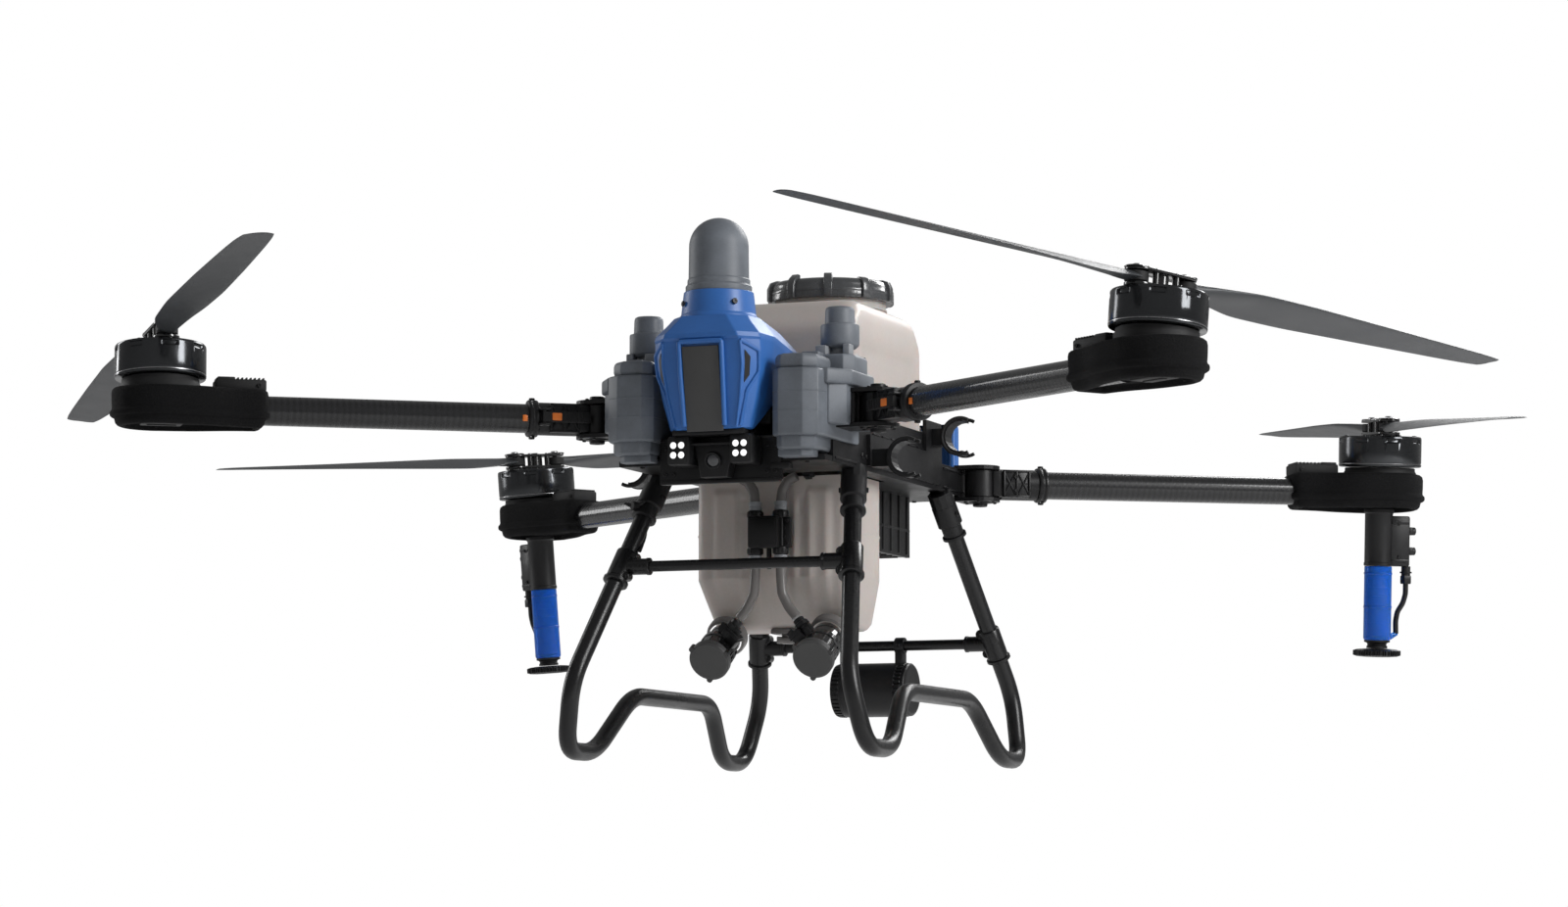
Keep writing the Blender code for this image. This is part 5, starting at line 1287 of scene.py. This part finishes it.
def make_shoulders():
    """Each cover is a stack of prisms: block, upper step, crown, side steps and foot."""
    for word, side in SIDES:
        def level(points, low, high, edge=0.003, bend=0.0015):
            outline = soft(np.array(points, float) * (side, 1), bend, 3, closed=True)
            return prism(outline, low, high, edge)
        shells = [
            level([(0.092, -0.338), (0.128, -0.343), (0.14, -0.332), (0.14, -0.312),
                   (0.092, -0.312)], 0.388, 0.399, 0.002),
            level([(0.091, -0.34), (0.102, -0.351), (0.13, -0.351), (0.1465, -0.339),
                   (0.1465, -0.2), (0.091, -0.2)], 0.397, 0.422, 0.006),
            level([(0.086, -0.342), (0.099, -0.356), (0.134, -0.356), (0.152, -0.344),
                   (0.156, -0.324), (0.156, -0.196), (0.086, -0.196)], 0.415, 0.506, 0.004),
            level([(0.1, -0.32), (0.158, -0.32), (0.1765, -0.3), (0.1765, -0.2),
                   (0.1, -0.2)], 0.433, 0.489, 0.003),
            level([(0.1, -0.33), (0.16, -0.33), (0.183, -0.296), (0.183, -0.21),
                   (0.166, -0.188), (0.1, -0.188)], 0.486, 0.507, 0.004),
            level([(0.089, -0.34), (0.1, -0.35), (0.132, -0.35), (0.148, -0.336),
                   (0.148, -0.285), (0.089, -0.275)], 0.504, 0.5262, 0.0075),
            level([(0.116, -0.312), (0.14, -0.312), (0.14, -0.29), (0.116, -0.29)],
                  0.524, 0.532, 0.0025),
            level([(0.112, -0.27), (0.16, -0.27), (0.172, -0.254), (0.172, -0.206),
                   (0.112, -0.206)], 0.504, 0.533, 0.005)]
        for z in (0.448, 0.474):
            shells.append(level([(0.0855, -0.3424), (0.0988, -0.3565), (0.1342, -0.3565),
                                 (0.1524, -0.3443), (0.1564, -0.324), (0.1564, -0.3),
                                 (0.0855, -0.3)], z, z + 0.0014, 0.0005, 0.0012))
        piece(f"cover_{word}", shells, "cover grey", "root", (f"shoulder_{word}",), 30)
        at = (side * 0.141, -0.23, 0)
        mast = [turned([(0.018, 0.53), (0.018, 0.535), (0.015, 0.5365), (0.015, 0.543),
                        (0.0185, 0.545)], 48, at=at),
                level([(0.118, -0.264), (0.133, -0.264), (0.133, -0.244), (0.118, -0.244)],
                      0.532, 0.546, 0.002),
                level([(0.154, -0.256), (0.164, -0.256), (0.164, -0.238), (0.154, -0.238)],
                      0.532, 0.548, 0.002)]
        piece(f"mast_neck_{word}", mast, "light cover grey", "root")
        mast = [turned([(0.015, 0.5432), (0.0215, 0.544), (0.0255, 0.5475), (0.0265, 0.55),
                        (0.0265, 0.5745), (0.0258, 0.5762), (0.0212, 0.5775), (0.0206, 0.579),
                        (0.02, 0.596), (0.019, 0.5995), (0.0165, 0.601), (0.006, 0.6014)],
                       64, at=at)]
        piece(f"mast_{word}", mast, "cover grey", "root", (f"antenna_{word}",), 50)
        # The tank's ledge takes the darker tank copy: painted shade on its front face.
        lug = [level([(0.121, -0.176), (0.1395, -0.176), (0.1395, -0.12), (0.121, -0.12)],
                     0.463, 0.53, 0.006, 0.003)]
        piece(f"tank_stop_{word}", lug, "tank painted shade", "root")


# ---- deck, rests and battery ---------------------------------------------------------------
def upright(outline, low, high, edge=0.001):
    """An outline of (y, z) raised along X."""
    place = GROUND @ np.array(((0, 0, 1, 0), (1, 0, 0, 0), (0, 1, 0, 0), (0, 0, 0, 1)), float)
    return prism(outline, low, high, edge, place)


def make_deck():
    shells = []
    under, front = 0.385, -0.3153      # underside of the deck, face of the front bulkhead
    for _, side in SIDES:
        for end, (x, y, z) in HINGES.items():
            x = x * side
            for up in (1, -1):
                at = GROUND @ frame_at((x, y, z + up * 0.0263), (0, 0, up))
                tall = 0.15 if end == "rear" and up > 0 else 1.0
                cap = [(0.016, -0.001), (0.016, 0.001), (0.015, 0.0018), (0.011, 0.0018),
                       (0.0105, 0.0058), (0.0095, 0.0066), (0.004, 0.0066), (0.0036, 0.004)]
                shells.append(turned([(radius, rise * tall) for radius, rise in cap], 40, at))
                for turn in np.arange(6) * TAU / 6:
                    spot = (0.0235 * math.cos(turn + 0.3), 0.0235 * math.sin(turn + 0.3), 0.0)
                    if spot[0] * side > -0.03:
                        shells.append(turned([(0.0026, -0.0006), (0.0026, 0.0014 * tall),
                                              (0.002, 0.002 * tall)], 12, at, spot))
            inner = side * (0.1505 if end == "rear" else 0.1772)
            outer = side * (abs(x) - 0.0245)
            for offset in (-0.0255, -0.01, 0.01, 0.0255):
                if abs(outer) - abs(inner) > 0.002:
                    shells.append(block((inner - side * 0.004, y + offset - 0.0016, z - 0.02),
                                        (outer, y + offset + 0.0016, z + 0.02), 0.0006))
        wall = side * 0.15
        for y in (-0.168, -0.152, 0.158):
            for z in (0.404, 0.448 if y < 0.1 else 0.415):
                shells.append(screw((wall, y, z), (side, 0, 0), 0.0036, 0.002))
        for y in bow(6, -0.125, 0.06):
            shells.append(upright([(y, 0.437), (y + 0.026, 0.437), (y + 0.026, 0.439), (y, 0.439)],
                                  wall - side * 0.001, wall + side * 0.0018, 0.0004))
        for y0, y1 in ((0.175, 0.305), (-0.275, -0.19)):
            for z in (0.39, 0.418):
                shells.append(block((wall - side * 0.001, y0, z),
                                    (wall + side * 0.002, y1, z + 0.003), 0.0006))
    for x in bow(5, -0.12, 0.12):
        for y in (-0.3, 0.306):
            shells.append(screw((x, y, under), (0, 0, -1), 0.0034, 0.0018))
    for x in (-0.05, 0.05):
        for y in (0.03, 0.262, 0.3):
            shells.append(screw((x, y, under), (0, 0, -1), 0.003, 0.0016))
    for x in (-0.072, 0.072):
        out = np.sign(x) * 0.0022
        for y in bow(6, 0.06, 0.232):
            shells.append(block((x, y - 0.002, 0.3), (x + out * 1.6, y + 0.002, 0.384), 0.0007))
        shells.append(block((x, 0.052, 0.333), (x + out * 1.5, 0.243, 0.337), 0.0007))
    for y in bow(7, 0.075, 0.22):
        shells.append(block((-0.064, y - 0.0018, 0.2945), (0.064, y + 0.0018, 0.298), 0.0006))
    shells += [block((-0.087, -0.3165, 0.417), (0.087, -0.308, 0.4205), 0.001),
               block((-0.087, -0.3165, 0.358), (0.087, -0.308, 0.364), 0.001)]
    for x in (-0.08, -0.068, 0.068, 0.08):
        for z in (0.408, 0.372):
            shells.append(screw((x, front, z), (0, -1, 0), 0.003, 0.0018))
    piece("deck_fittings", shells, "satin black", "root")
    pads = []
    for _, side in SIDES:
        for end, angle, run in (("front", -35.8 + 127.0, 0.38), ("rear", 33.9 - 119.7, 0.398)):
            heading = np.array((math.cos(math.radians(angle)), math.sin(math.radians(angle)), 0.0))
            centre = (np.array(HINGES[end]) + heading * run) * (side, 1, 1)
            heading = heading * (side, 1, 1)
            a = np.radians(np.linspace(62, 298, 33))
            for offset in (-0.015, 0.015):
                base = centre + heading * offset
                up = np.array((0.0, 0.0, 1.0))
                out = np.array((side, 0.0, 0.0))
                arc = base + 0.0262 * (np.cos(a)[:, None] * out + np.sin(a)[:, None] * up)
                pads.append(tube(arc, 0.0026, 10, up=tuple(heading)))
    piece("rest_rims", pads, "soft black", "root")


def make_battery():
    tail = []
    outer = soft([(-0.1185, 0.3215), (-0.1185, 0.343), (-0.1, 0.361), (0.1, 0.361),
                  (0.1185, 0.343), (0.1185, 0.3215), (0.1085, 0.3215), (0.1085, 0.338),
                  (0.096, 0.351), (-0.096, 0.351), (-0.1085, 0.338), (-0.1085, 0.3215)],
                 0.006, 4, closed=True)
    tail.append(stack(outer, [(0.0015, 0.394), (0.0004, 0.395), (0.0, 0.397), (0.0, 0.43),
                              (-0.0008, 0.432), (-0.0008, 0.436), (0.0, 0.438), (0.0, 0.493),
                              (0.0004, 0.496), (0.0015, 0.499), (0.003, 0.5)]))
    for x in bow(9, -0.064, 0.064):
        tail.append(block((x - 0.0022, 0.3595, 0.442), (x + 0.0022, 0.3625, 0.486), 0.0008))
    piece("tail_cowl", tail, "cowl blue", "root", ("tail_shell",), 40)
    pack = [block((-0.0715, 0.212, 0.3938), (0.0715, 0.312, 0.498), 0.007, steps=5),
            block((-0.0735, 0.2105, 0.482), (0.0735, 0.3135, 0.49), 0.003),
            block((-0.0735, 0.2105, 0.401), (0.0735, 0.3135, 0.408), 0.003),
            block((-0.056, 0.256, 0.495), (-0.04, 0.268, 0.514), 0.0025),
            block((0.04, 0.256, 0.495), (0.056, 0.268, 0.514), 0.0025),
            tube(soft([(-0.056, 0.262, 0.508), (-0.052, 0.262, 0.516), (0.052, 0.262, 0.516),
                       (0.056, 0.262, 0.508)], 0.006, 5), 0.0066, 20, up=(0, 1, 0))]
    for x in bow(13, -0.054, 0.054):
        pack.append(block((x - 0.0013, 0.2098, 0.416), (x + 0.0013, 0.2125, 0.474), 0.0006))
    for y in bow(8, 0.226, 0.298):
        for side in (1, -1):
            pack.append(block((side * 0.0705, y - 0.0014, 0.416),
                              (side * 0.0735, y + 0.0014, 0.474), 0.0006))
    for x in (-0.062, 0.062):
        for y in (0.222, 0.302):
            pack.append(screw((x, y, 0.4978), (0, 0, 1), 0.0032, 0.0016))
    piece("battery_case", pack, "soft black", "battery_pack", ("battery",))
    marks = [block((x - 0.003, 0.294, 0.4972), (x + 0.003, 0.297, 0.499), 0.0008)
             for x in bow(4, -0.018, 0.018)]
    piece("battery_lights", marks, "lamp white", "battery_pack")


# ---- nozzles -------------------------------------------------------------------------------
def make_nozzles():
    for word, _ in SIDES:
        quarter = Quarter(f"rear_{word}")
        place, body = quarter.rotor, f"arm_rear_{word}"
        shells = [turned([(0.0225, -0.024), (0.0225, -0.0285), (0.0212, -0.03), (0.0208, -0.031),
                          (0.0208, -0.103), (0.0216, -0.104), (0.0216, -0.1078), (0.0205, -0.109)],
                         56, place),
                  block((0.012, -0.013, -0.109), (0.0455, 0.013, -0.0335), 0.003, place),
                  block((0.016, -0.0142, -0.046), (0.044, 0.0142, -0.04), 0.0015, place),
                  block((0.016, -0.0142, -0.103), (0.044, 0.0142, -0.098), 0.0015, place)]
        for z in (-0.062, -0.092):
            shells += [block((0.044, -0.008, z), (0.0525, 0.008, z + 0.0125), 0.0022, place),
                       turned([(0.0052, 0.0), (0.0062, 0.0008), (0.0062, 0.005), (0.005, 0.0062)],
                              14, place @ frame_at((0.0515, 0, z + 0.0062), (1, 0, 0)))]
        shells += [turned([(0.0078, -0.135), (0.0086, -0.1335), (0.0086, -0.124),
                           (0.0078, -0.1225)], 6, place, (0.044, 0, 0)),
                   turned([(0.0068, -0.123), (0.0068, -0.1085)], 20, place, (0.044, 0, 0)),
                   turned([(0.009, -0.119), (0.009, -0.1165)], 24, place, (0.044, 0, 0))]
        for turn in (-1, 1):
            for z in (-0.044, -0.095):
                shells.append(screw((0.028, turn * 0.0142, z), (0, turn, 0), 0.0028, 0.0014, place))
        piece(f"nozzle_case_{word}", shells, "satin black", body, (f"nozzle_body_{word}",))
        clear = [turned([(0.0195, -0.1092), (0.0205, -0.11), (0.0205, -0.2165), (0.0192, -0.2195),
                         (0.018, -0.2195), (0.018, -0.1092)], 64, place, ring=True)]
        for z in (-0.118, -0.168):
            clear.append(turned([(0.02, z), (0.0211, z - 0.001), (0.0211, z - 0.0032),
                                 (0.02, z - 0.0042)], 64, place, ring=True))
        clear.append(turned([(0.0042, -0.006), (0.0044, 0.0), (0.0036, 0.014), (0.003, 0.015)], 24,
                            place @ frame_at((0.018, 0, -0.216), (0.88, 0, 0.48))))
        piece(f"nozzle_glass_{word}", clear, "clear blue", body, (f"nozzle_tube_{word}",), 50)
        inner = [turned([(0.006, -0.11), (0.016, -0.111), (0.016, -0.129), (0.015, -0.13),
                         (0.015, -0.14), (0.0162, -0.141), (0.0162, -0.213), (0.008, -0.216)], 48,
                        place)]
        for z in (-0.15, -0.153, -0.19, -0.193):
            inner.append(turned([(0.016, z), (0.0171, z - 0.0005), (0.0171, z - 0.0018),
                                 (0.016, z - 0.0023)], 48, place, ring=True))
        piece(f"nozzle_motor_{word}", inner, "inner blue", body)
        neck = [turned([(0.017, -0.219), (0.0192, -0.22), (0.0192, -0.2225), (0.015, -0.224),
                        (0.014, -0.227), (0.0155, -0.229), (0.0155, -0.2318), (0.01, -0.232)], 40,
                       place)]
        piece(f"nozzle_neck_{word}", neck, "satin black", body)
        turn = np.arange(192) * TAU / 192
        heights = np.array([-0.2445, -0.2448, -0.244, -0.2425, -0.2422, -0.2352, -0.2348, -0.2335,
                            -0.2326, -0.2326])
        radii = np.array([0.004, 0.02, 0.03, 0.0345, 0.0355, 0.0355, 0.0345, 0.03, 0.02, 0.0048])
        teeth = ((radii > 0.034)[:, None] * (np.cos(48 * turn) > 0)[None, :]) * 0.0022
        wall = radii[:, None] - teeth
        disc = np.stack([wall * np.cos(turn), wall * np.sin(turn), heights[:, None] + 0 * wall],
                        axis=-1)
        piece(f"disc_{word}", [surface(disc, place=place)], "satin black", f"disc_{word}",
              (f"nozzle_disc_{word}",), 30)
        knots = np.array([(0.044, 0, -0.1343), (0.044, 0, -0.15), (0.04, 0, -0.164),
                          (0.0315, 0, -0.177), (0.029, 0, -0.191), (0.0296, 0, -0.2095)])
        fine = np.linspace(0, len(knots) - 1, 48)
        path = np.column_stack([eased(fine, np.arange(len(knots)),
                                      knots[:, axis]) for axis in range(3)])
        piece(f"feed_hose_{word}", [tube(path, 0.004, 20, place, up=(0, 1, 0))], "coated tube",
              body, (f"nozzle_hose_{word}",), 60, slot="hose_black")


# ---- add-on --------------------------------------------------------------------------------
class DroneFinishes(bpy.types.Operator):
    """Make the finishes and dress the frame's own nodes"""
    bl_idname = "drone.finishes"
    bl_label = "Finishes"
    bl_options = {"REGISTER", "UNDO"}

    def execute(self, context):
        make_finishes(context.scene.drone_colours, context.scene.drone_sizes)
        dress_cad_nodes()
        return {"FINISHED"}


class DroneStage(bpy.types.Operator):
    """Set the floor, the lights and the camera"""
    bl_idname = "drone.stage"
    bl_label = "Stage"
    bl_options = {"REGISTER", "UNDO"}

    def execute(self, context):
        make_stage(context.scene.drone_sizes.floor_drop)
        return {"FINISHED"}


class DroneBlades(bpy.types.Operator):
    """Carry an aerofoil out from each blade pin"""
    bl_idname = "drone.blades"
    bl_label = "Blades"
    bl_options = {"REGISTER", "UNDO"}

    def execute(self, context):
        make_blades(context.scene.drone_sizes)
        return {"FINISHED"}


class DroneMotors(bpy.types.Operator):
    """Build the bells, hub plates and posts"""
    bl_idname = "drone.motors"
    bl_label = "Motors"
    bl_options = {"REGISTER", "UNDO"}

    def execute(self, context):
        make_motors()
        return {"FINISHED"}


class DroneBoots(bpy.types.Operator):
    """Build the foam boots and the motor seats"""
    bl_idname = "drone.boots"
    bl_label = "Motor boots"
    bl_options = {"REGISTER", "UNDO"}

    def execute(self, context):
        make_boots()
        return {"FINISHED"}


class DroneArms(bpy.types.Operator):
    """Build the carbon tubes, sleeves and latches"""
    bl_idname = "drone.arms"
    bl_label = "Arms"
    bl_options = {"REGISTER", "UNDO"}

    def execute(self, context):
        make_arms(context.scene.drone_sizes)
        return {"FINISHED"}


class DroneLandingGear(bpy.types.Operator):
    """Build the skids, braces, tees and radar"""
    bl_idname = "drone.landing_gear"
    bl_label = "Landing gear"
    bl_options = {"REGISTER", "UNDO"}

    def execute(self, context):
        make_landing_gear(context.scene.drone_sizes)
        make_radar()
        return {"FINISHED"}


class DroneTank(bpy.types.Operator):
    """Build the tank, its neck and the filler cap"""
    bl_idname = "drone.tank"
    bl_label = "Tank"
    bl_options = {"REGISTER", "UNDO"}

    def execute(self, context):
        make_tank()
        make_cap()
        return {"FINISHED"}


class DronePlumbing(bpy.types.Operator):
    """Build the pumps, hoses and flow meter"""
    bl_idname = "drone.plumbing"
    bl_label = "Plumbing"
    bl_options = {"REGISTER", "UNDO"}

    def execute(self, context):
        make_pumps()
        make_hoses(context.scene.drone_sizes)
        return {"FINISHED"}


class DroneNose(bpy.types.Operator):
    """Build the cowl, window, dome, lamps and camera"""
    bl_idname = "drone.nose"
    bl_label = "Nose"
    bl_options = {"REGISTER", "UNDO"}

    def execute(self, context):
        make_nose()
        make_lamps()
        return {"FINISHED"}


class DroneCovers(bpy.types.Operator):
    """Build the shoulder covers and antennas"""
    bl_idname = "drone.covers"
    bl_label = "Covers"
    bl_options = {"REGISTER", "UNDO"}

    def execute(self, context):
        make_shoulders()
        return {"FINISHED"}


class DroneDeck(bpy.types.Operator):
    """Build the brackets, rests, battery and tail cowl"""
    bl_idname = "drone.deck"
    bl_label = "Deck"
    bl_options = {"REGISTER", "UNDO"}

    def execute(self, context):
        make_deck()
        make_battery()
        return {"FINISHED"}


class DroneNozzles(bpy.types.Operator):
    """Build the spinning-disc spray nozzles"""
    bl_idname = "drone.nozzles"
    bl_label = "Nozzles"
    bl_options = {"REGISTER", "UNDO"}

    def execute(self, context):
        make_nozzles()
        return {"FINISHED"}


OPERATORS = (DroneFinishes, DroneStage, DroneBlades, DroneMotors, DroneBoots, DroneArms,
             DroneLandingGear, DroneTank, DronePlumbing, DroneNose, DroneCovers, DroneDeck,
             DroneNozzles)


class DronePanel(bpy.types.Panel):
    """Sizes, colours and one button for each group of pieces"""
    bl_idname = "VIEW3D_PT_drone"
    bl_label = "Spray Drone"
    bl_space_type = "VIEW_3D"
    bl_region_type = "UI"
    bl_category = "Drone"

    def draw(self, context):
        column = self.layout.column()
        for group_of_values in (context.scene.drone_colours, context.scene.drone_sizes):
            for key in group_of_values.__annotations__:
                column.prop(group_of_values, key)
        for operator in OPERATORS:
            column.operator(operator.bl_idname)


def register():
    for item in (DroneColours, DroneSizes, *OPERATORS, DronePanel):
        bpy.utils.register_class(item)
    bpy.types.Scene.drone_colours = bpy.props.PointerProperty(type=DroneColours)
    bpy.types.Scene.drone_sizes = bpy.props.PointerProperty(type=DroneSizes)


def unregister():
    del bpy.types.Scene.drone_sizes
    del bpy.types.Scene.drone_colours
    for item in (DronePanel, *reversed(OPERATORS), DroneSizes, DroneColours):
        bpy.utils.unregister_class(item)


def main():
    register()
    for operator in OPERATORS:
        getattr(bpy.ops.drone, operator.bl_idname.split(".")[1])()


if __name__ == "__main__":
    main()
